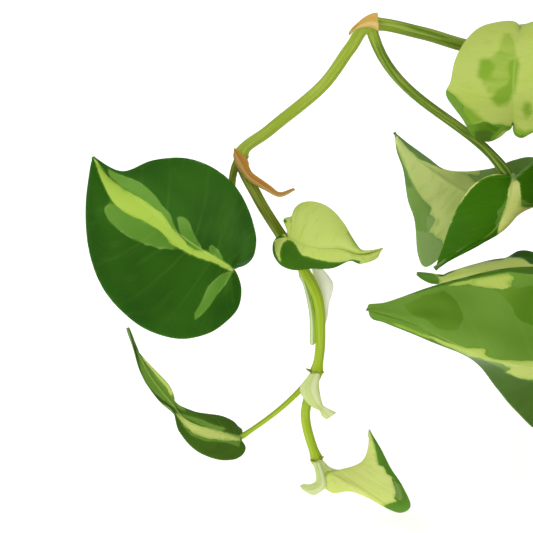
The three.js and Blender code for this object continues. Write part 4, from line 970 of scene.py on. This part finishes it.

# %% [markdown]
# The photographed leaves carry the splashes that they have in the picture, drawn one by one. Each leaf has
# its ground tone and how fresh its cream is. Each splash has a tone, a side and an outline, whose numbers go
# in pairs of a column and a row. The side is 1 for the left half, -1 for the right half and 0 for both. Some
# leaves are shifted to duller olive, which on the cream of leaves that catch the most light is painted
# shade, and some are lush, which shifts their colours.

# %% Splashes as in the photo
DRAWN = {
    "leaf_01": ["dark", 0.85, [
        ["mid", 0, [108, 169, 115, 173, 129, 178, 139, 182, 148, 189, 156, 197, 162, 206, 170, 214,
            173, 224, 178, 233, 150, 214, 125, 196, 112, 184]],
        ["mid", 0, [177, 216, 182, 217, 188, 220, 191, 228, 195, 237, 200, 245, 203, 253, 193, 251,
            180, 232]],
        ["mid", 0, [208, 248, 212, 245, 218, 250, 222, 257, 223, 263, 214, 257]],
        ["mid", 0, [105, 207, 110, 203, 116, 207, 126, 213, 140, 219, 155, 229, 164, 236, 170, 241,
            178, 249, 168, 249, 159, 248, 149, 245, 139, 241, 127, 236, 117, 228, 109, 220, 105, 213]],
        ["mid", 0, [233, 271, 222, 274, 215, 280, 208, 287, 204.5, 291, 205.5, 297, 200, 303, 198.5, 308,
            193.5, 315, 195.5, 319.5, 203, 313.5, 210, 305, 218, 293, 225, 285, 230, 276]],
        ["cream", 0, [92, 154, 97, 166, 101, 178, 106, 190, 112, 201, 118, 208, 127, 214, 136, 218,
            146, 222, 155, 228, 161, 232, 167, 238, 171, 244, 179, 248, 188, 253, 199, 258, 213, 262,
            223, 267, 233, 272, 231, 267, 223, 261, 215, 256, 206, 251, 195, 250, 189, 246, 184, 240,
            177, 234, 173, 229, 167, 220, 161, 212, 155, 208, 149, 204, 141, 198, 133, 194, 125, 190,
            118, 184, 109, 178, 101, 168]],
    ]],
    "leaf_02": ["cream", 0.35, [
        ["lime", 1, [351, 231, 358, 241, 364, 249, 361, 251, 354, 242, 349, 233]],
        ["dark", 0, [283, 219.5, 285, 218.8, 287, 220, 287, 222.4, 285, 223.2, 283, 222.2]],
        ["dark", 0, [287, 239, 291, 240, 296, 245, 300, 252, 303, 256, 311, 257.5, 322, 260.5, 334, 262,
            345, 261.5, 353, 259, 361, 261, 358, 270, 300, 275, 268, 262, 266, 238, 278, 231]],
        ["cream", 0, [273.5, 240, 280, 238.5, 287, 236.5, 291, 240, 287.6, 239.5, 283, 243, 280.6, 248,
            279.6, 254, 281, 262, 278.6, 260, 276, 254, 275, 247, 274.6, 243]],
    ]],
    "leaf_03": ["dark", -0.3, [
        ["mid", 0, [136, 350, 139, 362, 143, 376, 150, 388, 160, 397, 172, 406, 186, 411, 177, 402,
            173, 392, 160, 376, 148, 361]],
        ["cream", 0, [139, 354, 146, 359, 156, 371, 167, 383, 174, 392, 171, 397, 166, 387, 153, 372,
            144, 361]],
        ["mid", 0, [178, 413, 188, 416, 200, 419, 214, 425, 226, 428.5, 222, 430.5, 208, 427, 192, 421.5,
            180, 415.5]],
        ["mid", 0, [180, 419, 184, 427, 191, 435, 206, 441, 226, 442, 239, 446.5, 240, 438, 210, 434]],
        ["cream", 0, [175.5, 412.6, 182, 417, 188.3, 421.1, 200.3, 426.4, 215.4, 430.2, 227.4, 433.9,
            240, 438, 240, 441, 224.4, 440.3, 206.4, 438.5, 192.8, 433.2, 185.3, 426.4, 180, 420.4]],
    ]],
    "leaf_04": ["cream", 0.05, [
        ["mid", 0, [369, 429, 373.5, 441.5, 376.4, 451.4, 377.1, 458.4, 378.5, 464.7, 384.1, 466.8,
            386.2, 472.4, 389, 474.5, 393, 477, 399, 484, 402, 491, 402.4, 499, 397.4, 501.3, 390.4, 503.4,
            383.4, 505.5, 392, 515, 408, 516, 414, 506, 406, 483, 392, 464, 380, 440]],
        ["grey", 0, [391.8, 476.7, 393.9, 485.1, 396, 492.1, 394.6, 498.4, 398, 500.8, 402.4, 499, 402, 491,
            399, 484, 393, 477]],
    ]],
    "leaf_05": ["dark", -0.3, [
        ["cream", 0, [450.4, 224.4, 456.2, 207.7, 469.5, 190.4, 478.5, 181.5, 487.4, 176.4, 498, 174.5,
            506, 174.4, 508, 168, 484, 168, 466, 180, 452, 200, 442, 224]],
        ["mid", -1, [507, 198, 503, 206, 497, 212, 499, 217, 495, 222.5, 498.8, 230, 502, 222, 506, 210]],
        ["cream", 0, [512, 178, 511.4, 181, 508.4, 190, 507, 200.3, 504, 210.7, 500, 222, 498, 231,
            497, 236, 512.9, 230, 534, 219, 538, 210, 532, 207, 523, 208, 521.1, 203.3, 521.1, 194.4,
            519.6, 184, 517, 180]],
        ["mid", 1, [521, 198, 527, 203, 535, 204, 535, 207, 527, 207, 521, 206]],
        ["mid", 1, [514, 178, 522, 170, 533, 161, 536, 157, 537, 160, 532, 165, 524, 172, 516, 179]],
    ]],
    "leaf_06": ["cream", -0.25, [
        ["dark", 0, [390, 126, 397, 126, 397.5, 136.5, 391, 137]],
        ["grey", 0, [385, 150, 396, 146, 404.3, 164.6, 410.3, 179.5, 416.2, 190, 422.2, 198.8, 430.4, 206,
            431.8, 210.7, 427.4, 213, 431.1, 215.2, 440, 222.6, 432.6, 223.4, 433.3, 228.6, 425.2, 229.3,
            429.6, 232.3, 443, 242, 444, 262, 440, 275, 410, 275, 398, 236, 392, 200, 385, 170]],
        ["green", 0, [404, 175, 412, 188, 422, 201, 430, 209, 425, 222, 428, 233, 416, 230, 409, 205]],
        ["dark", -1, [386, 130, 392, 134, 396.2, 145.3, 404.3, 164.6, 410.3, 179.5, 413, 187, 400, 187,
            388, 160]],
        ["dark", 1, [392, 126, 394, 133.5, 400, 139.5, 407.3, 148.3, 419.2, 158.7, 431.1, 164.6, 442, 169.3,
            450, 160, 430, 145, 404, 128]],
        ["grey", 0, [459, 172, 468.3, 175, 474.2, 181, 482, 186, 500, 180, 520, 150, 500, 155, 470, 162]],
        ["cream", 1, [446, 168, 456, 172, 466, 174, 480, 176, 480, 169, 464, 168]],
        ["mid", 0, [500, 150, 545, 140, 560, 200, 500, 270, 486, 240, 492, 190, 498, 172]],
    ]],
    "leaf_07": ["cream", 0.4, [
        ["soft", 0, [499, 40, 504, 31, 511, 32.5, 515, 42.5, 518, 58, 520, 70, 516, 92, 508, 107, 496, 106,
            486, 92, 480, 80, 476, 74, 480, 60, 490, 56, 497, 52]],
        ["soft", -1, [540, 60, 546, 44, 552, 60, 550, 90, 542, 112, 536, 90]],
        ["lime", 0, [508, 60, 516, 58, 519, 64, 517, 78, 515, 90, 508, 102, 500, 106, 494, 103, 492, 97,
            498, 88, 505, 85, 509, 78, 507, 68]],
        ["lime", 0, [480, 61, 486, 58, 491, 61, 495, 69, 492, 74, 489, 84, 483, 80, 478, 76, 479, 69]],
        ["lime", -1, [525, 100, 531, 104, 532, 112, 527, 118, 523, 110]],
        ["mid", 1, [440, 86, 448, 91, 455, 96, 461, 103, 466, 108, 476, 114, 484, 121, 493, 124.5, 500, 124,
            507, 126, 514, 127, 509, 130, 502, 131, 497, 137, 492, 147, 470, 150, 450, 130, 436, 98]],
        ["lime", 1, [462, 104, 470, 108.5, 478, 115, 484, 121, 478, 127, 470, 122, 464, 113]],
        ["green", 1, [466, 126, 474, 124, 484, 122, 494, 126, 499, 128, 497, 133, 491, 139, 490, 150,
            474, 146]],
        ["dark", 1, [474, 131, 482, 130, 490, 131, 494, 134, 489, 139, 484, 150, 476, 142]],
        ["cream", 1, [500, 133, 507, 129.5, 512, 129, 508, 134, 497, 142, 493, 141]],
        ["lime", -1, [511, 122, 517, 128, 526, 132, 540, 128, 560, 126, 560, 145, 511, 145]],
        ["mid", -1, [512, 131, 517, 134, 527, 136, 534, 132, 540, 140, 512, 142]],
        ["lime", -1, [540, 60, 552, 52, 556, 72, 548, 96, 540, 84]],
    ]],
    "leaf_08": ["mid", 0.35, [
        ["green", 0, [404, 304, 424, 296, 446, 290, 456, 300, 464, 316, 458, 330, 440, 330, 424, 318,
            412, 316]],
        ["green", 0, [500, 294, 520, 288, 540, 284, 560, 284, 560, 330, 532, 326, 516, 318, 512, 305]],
        ["cream", -1, [443, 285.5, 464, 281, 490, 276, 509.5, 273, 514, 277, 511.2, 283.5, 504.3, 289.5,
            485.2, 287.8, 473, 285.5, 457.3, 286]],
        ["dark", -1, [382, 303, 400, 298, 416, 293.5, 429.5, 289, 457.3, 282, 481.7, 276, 509.5, 272,
            533, 275, 570, 277, 570, 258, 510, 260, 456, 270, 420, 280, 384, 292]],
        ["mid", 1, [420, 328, 446, 338, 468, 345, 486, 346, 505, 352, 533, 356, 560, 362, 560, 400,
            520, 382, 500, 368, 480, 362, 456, 354, 430, 342]],
        ["lime", 0, [392, 322.5, 400, 324, 417, 331.5, 430, 336, 430, 339, 416, 334, 400, 327.5]],
        ["dark", 1, [372, 318, 384, 322.4, 400, 327.5, 417, 334.5, 434, 341, 452, 348, 468, 356, 486, 361,
            502, 368, 520, 378, 540, 384, 580, 392, 600, 450, 520, 450, 450, 376, 380, 332]],
        ["cream", 0, [424, 333, 434, 337, 446, 341.6, 456, 345, 464, 348, 484, 348, 488, 351, 484, 354,
            493, 359, 508, 360, 520, 361, 540, 360, 580, 364, 580, 376, 545, 378, 530, 380, 518, 378,
            510, 374, 504, 372, 511, 369, 500, 363, 488, 361, 478, 358, 468, 356, 456, 350, 444, 345.4,
            432, 339]],
    ]],
    "leaf_09": ["cream", 0.3, [
        ["mid", 0, [412, 268, 428, 272, 437, 276, 440, 282, 430, 292, 412, 276]],
        ["dark", -1, [440, 278, 444, 276, 452, 272, 465, 266, 485, 261.5, 506, 259, 512, 254, 480, 250,
            450, 262, 436, 272]],
        ["dark", 0, [450, 284, 455, 281, 472, 276, 491, 271, 512, 268, 524, 267, 560, 268, 560, 300,
            440, 300]],
        ["dark", -1, [510, 258, 517, 246, 540, 246, 560, 262, 560, 270, 530, 264, 522, 258]],
    ]],
}
# Some leaves are shifted to duller olive. On the cream of those that catch the most light, this is painted
# shade.
DULL_AND_SHADE = {"leaf_02": 0.12, "leaf_03": 0.24, "leaf_07": 0.3, "leaf_08": 0.22}
LUSH = {"leaf_02": 0.3, "leaf_05": 0.6}
for number, leaf in enumerate(LEAVES, 1):
    leaf["seed"] = number
    leaf["ground"], leaf["fresh"], leaf["splashes"] = DRAWN.get(leaf["name"]) or chance_splashes(number)
print("splashes:", sum(len(leaf["splashes"]) for leaf in LEAVES))

# %% [markdown]
# ## Materials
# Each finish is a graph of nodes that ends in one principled shader. It could be wired by hand in the
# shader editor. In a script the same few wirings come again and again, so a small class keeps the graph and
# names them: a field of the mesh, a step, a blend, layers of paint, a noise.

# %% Graphs of nodes
def rgb(red, green, blue):
    """A colour on the screen, 0 to 255, as the light that a shader takes: ((c + 0.055) / 1.055)^2.4."""
    c = np.array([red, green, blue]) / 255
    return (*np.where(c <= 0.04045, c / 12.92, ((c + 0.055) / 1.055) ** 2.4), 1.0)


class Graph:
    """One material. Every value is a number, a tuple or another node's socket."""

    def __init__(self, name):
        """An empty graph but for its principled shader."""
        self.material = bpy.data.materials.new(name)
        self.material.use_nodes = True
        self.tree = self.material.node_tree
        self.shader = self.tree.nodes["Principled BSDF"]

    def fill(self, node, inputs):
        """Link or set each input of a node."""
        for name, value in inputs.items():
            if isinstance(value, bpy.types.NodeSocket):
                self.tree.links.new(value, node.inputs[name])
            else:
                node.inputs[name].default_value = value

    def put(self, kind, inputs, out=0, **settings):
        """A new node, and the socket it gives."""
        node = self.tree.nodes.new(kind)
        for name, value in settings.items():
            setattr(node, name, value)
        self.fill(node, inputs)
        return node.outputs[out]

    def field(self, name):
        """A number that the mesh stores at each place."""
        return self.put("ShaderNodeAttribute", {}, "Fac", attribute_name=name)

    def place(self):
        """The place on the piece, in metres."""
        return self.put("ShaderNodeTexCoord", {}, "Object")

    def math(self, operation, *values):
        """One step of arithmetic."""
        return self.put("ShaderNodeMath", dict(enumerate(values)), operation=operation)

    def times(self, one, two):
        """one times two."""
        return self.math("MULTIPLY", one, two)

    def step(self, value, low, high, start=0.0, end=1.0):
        """A smooth step from start to end as value goes from low to high."""
        inputs = {"Value": value, "From Min": low, "From Max": high, "To Min": start, "To Max": end}
        return self.put("ShaderNodeMapRange", inputs, interpolation_type="SMOOTHSTEP")

    def blend(self, factor, one, two):
        """mix(one, two, factor) of two colours."""
        return self.put("ShaderNodeMix", {0: factor, 6: one, 7: two}, 2, data_type="RGBA")

    def paint(self, colour, *layers):
        """A colour with layers over it. Each layer is how much it covers, and its colour."""
        for factor, other in layers:
            colour = self.blend(factor, colour, other)
        return colour

    def noise(self, place, scale, detail=2.0, roughness=0.5):
        """A soft noise between 0 and 1."""
        inputs = {"Vector": place, "Scale": scale, "Detail": detail, "Roughness": roughness}
        return self.put("ShaderNodeTexNoise", inputs, "Fac")

    def streaks(self, x, often_x, y, often_y, z, detail, roughness=0.5):
        """A noise at (often_x x, often_y y, z), long where a number changes slowly."""
        corner = {"X": self.times(x, often_x), "Y": self.times(y, often_y), "Z": z}
        return self.noise(self.put("ShaderNodeCombineXYZ", corner), 1.0, detail, roughness)

    def finish(self, colour, roughness, bumps, shine=0.5, through=None):
        """The shader. bumps are height, strength and distance, and through is how light passes inside."""
        normal = self.put("ShaderNodeBump", dict(zip(("Height", "Strength", "Distance"), bumps)))
        inputs = {"Base Color": colour, "Roughness": roughness, "Normal": normal}
        inputs["Specular IOR Level"] = shine
        if through:
            inputs.update(zip(("Subsurface Weight", "Subsurface Radius", "Subsurface Scale"), through))
        self.fill(self.shader, inputs)
        return self.material


LEAF_LIGHT = (0.4, 1.0, 0.15)
print("white as light:", rgb(255, 255, 255))

# %% [markdown]
# ### The leaf
# A leaf's green has no hard edges within a tone, but splashes end sharply, frayed along the veins. A
# painted map could show that on one leaf. The same graph serves all thirty-nine: noise that is stretched
# along the veins shifts the splash fields before they pick a colour. Cream gets greener where the leaf is
# fresh, and the underside is duller.

# %% Leaf material
def leaf_material():
    """cream + n parts cream from green, pale + n parts mid from dark, with the noise n along the veins."""
    g = Graph("leaf")
    a, across, under, near, worn = (g.field(name) for name in ("a", "across", "under", "near", "worn"))
    v = g.math("ABSOLUTE", across)
    strand = g.math("MULTIPLY_ADD", g.math("SIGN", across), 7.0, g.times(g.field("seed"), 3.7))
    streaks = g.streaks(a, 34.0, v, 2.2, strand, 3.0, 0.62)
    fine = g.streaks(a, 120.0, v, 5.0, strand, 2.0)
    slow = g.streaks(a, 5.0, v, 1.6, strand, 1.0)
    n = g.math("SUBTRACT", g.math("MULTIPLY_ADD", streaks, 0.26, g.times(fine, 0.03)), 0.145)
    cream, pale, deep = (g.math("ADD", g.field(name), n) for name in ("cream", "pale", "deep"))
    is_deep, patchy = g.step(deep, -0.1, 0.1), g.step(slow, 0.3, 0.7)
    fresh = g.blend(patchy, rgb(72, 116, 14), rgb(104, 144, 40))
    dark = g.paint(
        rgb(30, 74, 2),
        (patchy, rgb(42, 90, 8)),
        # shift to duller olive, partly painted shade
        (worn, rgb(118, 142, 56)),
        (g.field("lush"), rgb(66, 122, 0)),
    )
    middle = g.paint(
        rgb(76, 122, 30),
        (patchy, rgb(98, 142, 50)),
        # shift to duller olive, partly painted shade
        (worn, rgb(150, 178, 70)),
        (is_deep, rgb(124, 152, 84)),
    )
    green = g.paint(
        g.blend(is_deep, fresh, dark),
        (g.step(pale, -0.05, 0.06), middle),
        (g.step(streaks, 0.5, 0.75, 0.0, 0.1), rgb(104, 142, 44)),
        (g.step(cream, -0.13, -0.04, 0.0, 0.45), rgb(96, 146, 46)),
    )
    light = g.paint(
        rgb(231, 233, 148),
        (g.field("fresh"), rgb(150, 184, 58)),
        # painted shade: the cream darkened and dulled on leaves that catch the most light
        (worn, rgb(146, 156, 66)),
        (g.step(slow, 0.25, 0.75, 0.0, 0.35), rgb(186, 204, 80)),
        (g.step(streaks, 0.5, 0.72, 0.0, 0.3), rgb(150, 184, 62)),
        (g.step(pale, -0.25, 0.2, 0.0, 0.8), rgb(112, 156, 22)),
    )
    ridges = g.math("SINE", g.times(g.math("POWER", a, VEIN_SPREAD), SIDE_VEINS * np.pi))
    vein = g.times(g.step(g.math("ABSOLUTE", ridges), 0.0, 0.2, 0.05, 0.0), g.step(v, 0.0, 0.9, 1.0, 0.2))
    rib = g.math("DIVIDE", near, g.math("SUBTRACT", 1.08, a))
    colour = g.paint(
        green,
        (g.step(cream, -0.03, 0.035), light),
        (vein, rgb(150, 186, 80)),
        (g.step(rib, 0.5, 1.5, 0.4, 0.0), rgb(168, 196, 92)),
        (g.times(under, 0.42), rgb(150, 178, 110)),
    )
    roughness = g.math("MULTIPLY_ADD", under, 0.2, 0.45)
    height = g.math("MULTIPLY_ADD", fine, 0.5, streaks)
    return g.finish(colour, roughness, (height, 0.25, 0.0004), 0.06, (0.12, LEAF_LIGHT, 0.0012))


blade_look = leaf_material()
print("nodes of the leaf material:", len(blade_look.node_tree.nodes))

# %% [markdown]
# ### Stems and sheaths
# Old stem is green with painted shade in its groove, young stem is yellow-green, and each joint has a
# brownish scar.
# Fresh sheaths are pale and let light through, dry ones are tan with browner edges. They could have one
# plain colour each, but long streaks show which way they grew. The stems differ only by the numbers on
# their meshes, so they share a graph.

# %% Stem, husk and sheath materials
SHEATH_LOOKS = {
    "husk": [(190, 138, 48), (160, 104, 20), (204, 176, 110), 0.8],
    "golden husk": [(212, 176, 84), (188, 144, 50), (220, 196, 136), 0.8],
    "sheath": [(206, 218, 150), (182, 202, 106), (224, 230, 190), 0.6],
    # The thin sheath is pale. Its colours are raised further to near white: painted light against the shade
    # behind the stem.
    "thin sheath": [(248, 250, 232), (236, 242, 208), (250, 250, 236), 0.6],
    "green sheath": [(160, 190, 84), (140, 174, 62), (236, 242, 214), 0.6],
}


def stem_material(name):
    """Age layers, fine streaks (partly painted highlight), painted shade in the groove, joint scars,
    mottling.
    """
    g = Graph(name)
    turn, young = g.field("turn"), g.field("young")
    streaks = g.streaks(g.field("along"), 0.05, turn, 2.2, 0.0, 3.0)
    colour = g.paint(
        rgb(92, 122, 20),
        (g.step(young, 0.28, 0.35), rgb(148, 170, 50)),
        (g.step(young, -0.3, 0.2, 0.75, 0.0), rgb(50, 90, 0)),
        (g.step(young, 0.543, 0.567), rgb(98, 112, 8)),
        (g.step(young, 0.645, 0.7), rgb(154, 182, 28)),
        # fine pale streaks: partly the stem's striations, partly a painted highlight
        (g.step(streaks, 0.4, 0.65, 0.0, 0.4), rgb(188, 204, 96)),
        # painted shade: the groove along the top of the tube darkened
        (g.step(g.math("ABSOLUTE", turn), 0.12, 0.5, 0.45, 0.0), rgb(84, 104, 14)),
        (g.step(g.field("joint"), 0.24, 0.9, 0.0, 0.8), rgb(146, 132, 24)),
        (g.step(g.noise(g.place(), 180.0, 3.0), 0.68, 0.8, 0.0, 0.2), rgb(120, 110, 40)),
    )
    return g.finish(colour, 0.5, (streaks, 0.3, 0.0003), 0.12, (0.1, LEAF_LIGHT, 0.0015))


def sheath_material(name, light, shade, edge, roughness):
    """Long ribs, with a clear band on the right, towards the ragged end and at both edges."""
    g = Graph(name)
    a, across = g.field("a"), g.field("across")
    ribs = g.streaks(a, 2.0, across, 9.0, 0.0, 3.0)
    band = g.times(g.step(across, 0.0, 0.3), g.step(across, 0.5, 0.9, 1.0, 0.0))
    late = g.times(g.step(a, 0.5, 1.0), g.step(across, -0.6, 0.5))
    colour = g.paint(
        rgb(*light),
        (g.step(ribs, 0.3, 0.7), rgb(*shade)),
        (g.times(g.math("MAXIMUM", band, late), 0.6), rgb(*edge)),
        (g.step(g.math("ABSOLUTE", across), 0.75, 1.0, 0.0, 0.5), rgb(*edge)),
    )
    return g.finish(colour, roughness, (ribs, 0.5, 0.0004), through=(0.25, (1.0, 0.9, 0.4), 0.0012))


stalk_look, stem_look = stem_material("stalk"), stem_material("stem")
sheath_looks = {name: sheath_material(name, *look) for name, look in SHEATH_LOOKS.items()}
print("sheath looks:", ", ".join(sheath_looks))

# %% [markdown]
# ### Clay and soil
# Plain fired clay is orange-brown in slow clouds, with fine pores, and salts bloom pale on its lower part.
# Soil, bark and grit are each two tones of one colour. Photographs of clay would tile and repeat. Noise in
# the place on the piece never does, and it runs on round the rim.

# %% Soil, bark, grit and clay materials
def grain_material(name, light, shade, scale, roughness=0.95):
    """Two tones by noise + (tone - 0.5) / 2, and a rough surface."""
    g = Graph(name)
    grain = g.noise(g.place(), scale, 6.0, 0.6)
    tone = g.math("MULTIPLY_ADD", g.math("SUBTRACT", g.field("tone"), 0.5), 0.5, grain)
    return g.finish(g.blend(g.step(tone, 0.3, 0.75), shade, light), roughness, (grain, 0.6, 0.0008), 0.2)


def clay_material():
    """Slow clouds, a pale bloom low down where a second noise allows it, and fine pores."""
    g = Graph("clay")
    place = g.place()
    height = g.put("ShaderNodeSeparateXYZ", {"Vector": place}, "Z")
    clouds, pores = g.noise(place, 28.0, 4.0), g.noise(place, 900.0, 2.0)
    low = g.step(g.math("MULTIPLY_ADD", clouds, 0.05, height), 0.02, 0.065, 0.4, 0.0)
    colour = g.paint(
        rgb(176, 98, 66),
        (g.step(clouds, 0.3, 0.7), rgb(196, 118, 84)),
        (g.times(low, g.step(g.noise(place, 70.0, 5.0, 0.65), 0.42, 0.6)), rgb(222, 196, 176)),
        (g.step(pores, 0.6, 0.75, 0.0, 0.25), rgb(140, 76, 52)),
    )
    return g.finish(colour, 0.85, (g.math("ADD", pores, clouds), 0.25, 0.0005), 0.25)


clay_look = clay_material()
soil_looks = [
    grain_material("soil", rgb(84, 64, 48), rgb(34, 25, 19), 420.0),
    grain_material("bark", rgb(150, 104, 66), rgb(74, 46, 28), 160.0),
    grain_material("grit", rgb(238, 236, 228), rgb(206, 202, 192), 300.0, 0.8),
]
print("materials:", len(bpy.data.materials))

# %% [markdown]
# ## Putting it together
# The plant is picked up by its pot, and nothing on it turns. So every piece rides on the root. All leaves
# could be one mesh. But each leaf with its stalk is one node of the solid model, and a look stands in for
# one node.

# %% Leaves
for leaf in LEAVES:
    name = leaf["name"]
    # the shift to duller olive, partly painted shade, is stored on the mesh for each leaf
    known = {"seed": leaf["seed"], "worn": DULL_AND_SHADE.get(name, 0), "lush": LUSH.get(name, 0)}
    known["fresh"] = 0.25 + 0.75 * leaf["fresh"]
    sheets = blade_part(leaf, PHOTO_ROWS if name in SEEN else OTHER_ROWS)
    for sheet in sheets:
        f = sheet["fields"]
        f["cream"], f["pale"], f["deep"] = tone_fields(leaf, f["a"], f["across"], sheet["places"])
        f.update({field: np.full(len(f["a"]), float(value)) for field, value in known.items()})
    make_piece(name, [*sheets, stalk_part(leaf, 1)], [blade_look, stalk_look])
print("leaf pieces:", len(LEAVES))

# %% [markdown]
# The vines come next, one piece each, with the small scales that the first one has at two of its joints.
# The sheaths follow. A sheath may have strips of more than one look, so its materials are those that its
# strips name.

# %% Stems and sheaths
for letter, vine in VINES.items():
    spurs = [spur_part(ends) for ends in SPURS] if letter == "a" else []
    make_piece(f"stem_{letter}", [stem_part(*vine), *spurs], [stem_look])
for name, (slot, *strips) in SHEATHS.items():
    looks = [look for look in SHEATH_LOOKS if look in [strip[0] for strip in strips]]
    parts = [part for look, *strip in strips for part in strip_parts(looks.index(look), *strip)]
    make_piece(name, parts, [sheath_looks[look] for look in looks])
print("stems:", len(VINES), "and sheaths:", len(SHEATHS))

# %% [markdown]
# Last come the pot, with its three drain holes, and the soil with its lumps. Bark lies flat and sinks in a
# little, and grit stays round. The lumps could be objects of their own, but loose they would be no part of
# the plant.

# %% Pot and soil
pot = make_piece("pot", [turned_part(pot_profile(), POT_SECTORS)], [clay_look])
drill(pot, DRAIN_RADIUS, DRAIN_RING, 2 * np.pi * np.arange(3) / 3 + 0.5)
lumps = [
    lump_part(420, (0.7, 1.8), 0.7, 0.2, 0), lump_part(70, (2.2, 4.2), 0.45, 0.25, 1),
    lump_part(60, (0.9, 1.9), 0.8, 0.4, 2),
]
make_piece("soil", [soil_part(), *lumps], soil_looks)
print("pot faces:", len(pot.data.polygons))

# %% [markdown]
# ## Stage, light and camera
# The photo has a plain near-white ground and soft light from the upper left. A bright sky alone would light
# the plant evenly and hide its forms. So the floor and the sky are near white and dim, one broad lamp
# stands high on the left, and a weaker one on the right opens the shadows.

# %% Stage
floor_mesh = bpy.data.meshes.new("floor")
floor_mesh.from_pydata([(-5, -5, 0), (5, -5, 0), (5, 5, 0), (-5, 5, 0)], [], [(0, 1, 2, 3)])
floor = bpy.data.objects.new("floor", floor_mesh)
bpy.context.collection.objects.link(floor)
ground = Graph("floor")
ground.fill(ground.shader, {"Base Color": (0.92, 0.92, 0.92, 1), "Roughness": 0.9})
ground.fill(ground.shader, {"Emission Color": (1, 1, 1, 1), "Emission Strength": 0.6})
floor_mesh.materials.append(ground.material)

world = bpy.data.worlds.new("sky")
world.use_nodes = True
world.node_tree.nodes["Background"].inputs["Color"].default_value = (1, 1, 1, 1)
world.node_tree.nodes["Background"].inputs["Strength"].default_value = 0.55
bpy.context.scene.world = world


def lamp(name, place, aim, width, power):
    """A square lamp that faces aim: tilted by atan2(|(x, y)|, -z) and turned by atan2(y, x) - 90 degrees."""
    light = bpy.data.lights.new(name, "AREA")
    light.size, light.energy = width, power
    made = bpy.data.objects.new(name, light)
    bpy.context.collection.objects.link(made)
    made.location = place
    x, y, z = np.subtract(aim, place)
    made.rotation_euler = (np.arctan2(np.hypot(x, y), -z), 0, np.arctan2(y, x) - np.pi / 2)


lamp("key", (-1.1, -1.2, 1.6), (-0.1, 0, 0.1), 1.1, 15)
lamp("fill", (1.3, -0.8, 0.9), (0, 0, 0.1), 1.2, 4)
print("lamps:", len(bpy.data.lights))

# %% [markdown]
# The camera looks down by 18 degrees at the vine that trails on the left, from 0.89 m away, and from there
# the leaves overlap as they do in the photo. It could be aimed by a constraint. But the drawn leaves and
# splashes were worked out from the numbers LOOK_DOWN, TARGET and DISTANCE, so the camera takes its place
# from the same ones.

# %% Camera
camera = bpy.data.objects.new("camera", bpy.data.cameras.new("camera"))
bpy.context.collection.objects.link(camera)
camera.data.lens, camera.data.sensor_width = 150, 36
camera.data.clip_start, camera.data.clip_end = 0.05, 20
camera.location = (TARGET + TOWARD * DISTANCE) * MM
camera.rotation_euler = (np.pi / 2 - LOOK_DOWN, 0, 0)
bpy.context.scene.camera = camera
bpy.context.scene.view_settings.view_transform = "Standard"
print("camera at:", tuple(round(x, 3) for x in camera.location))
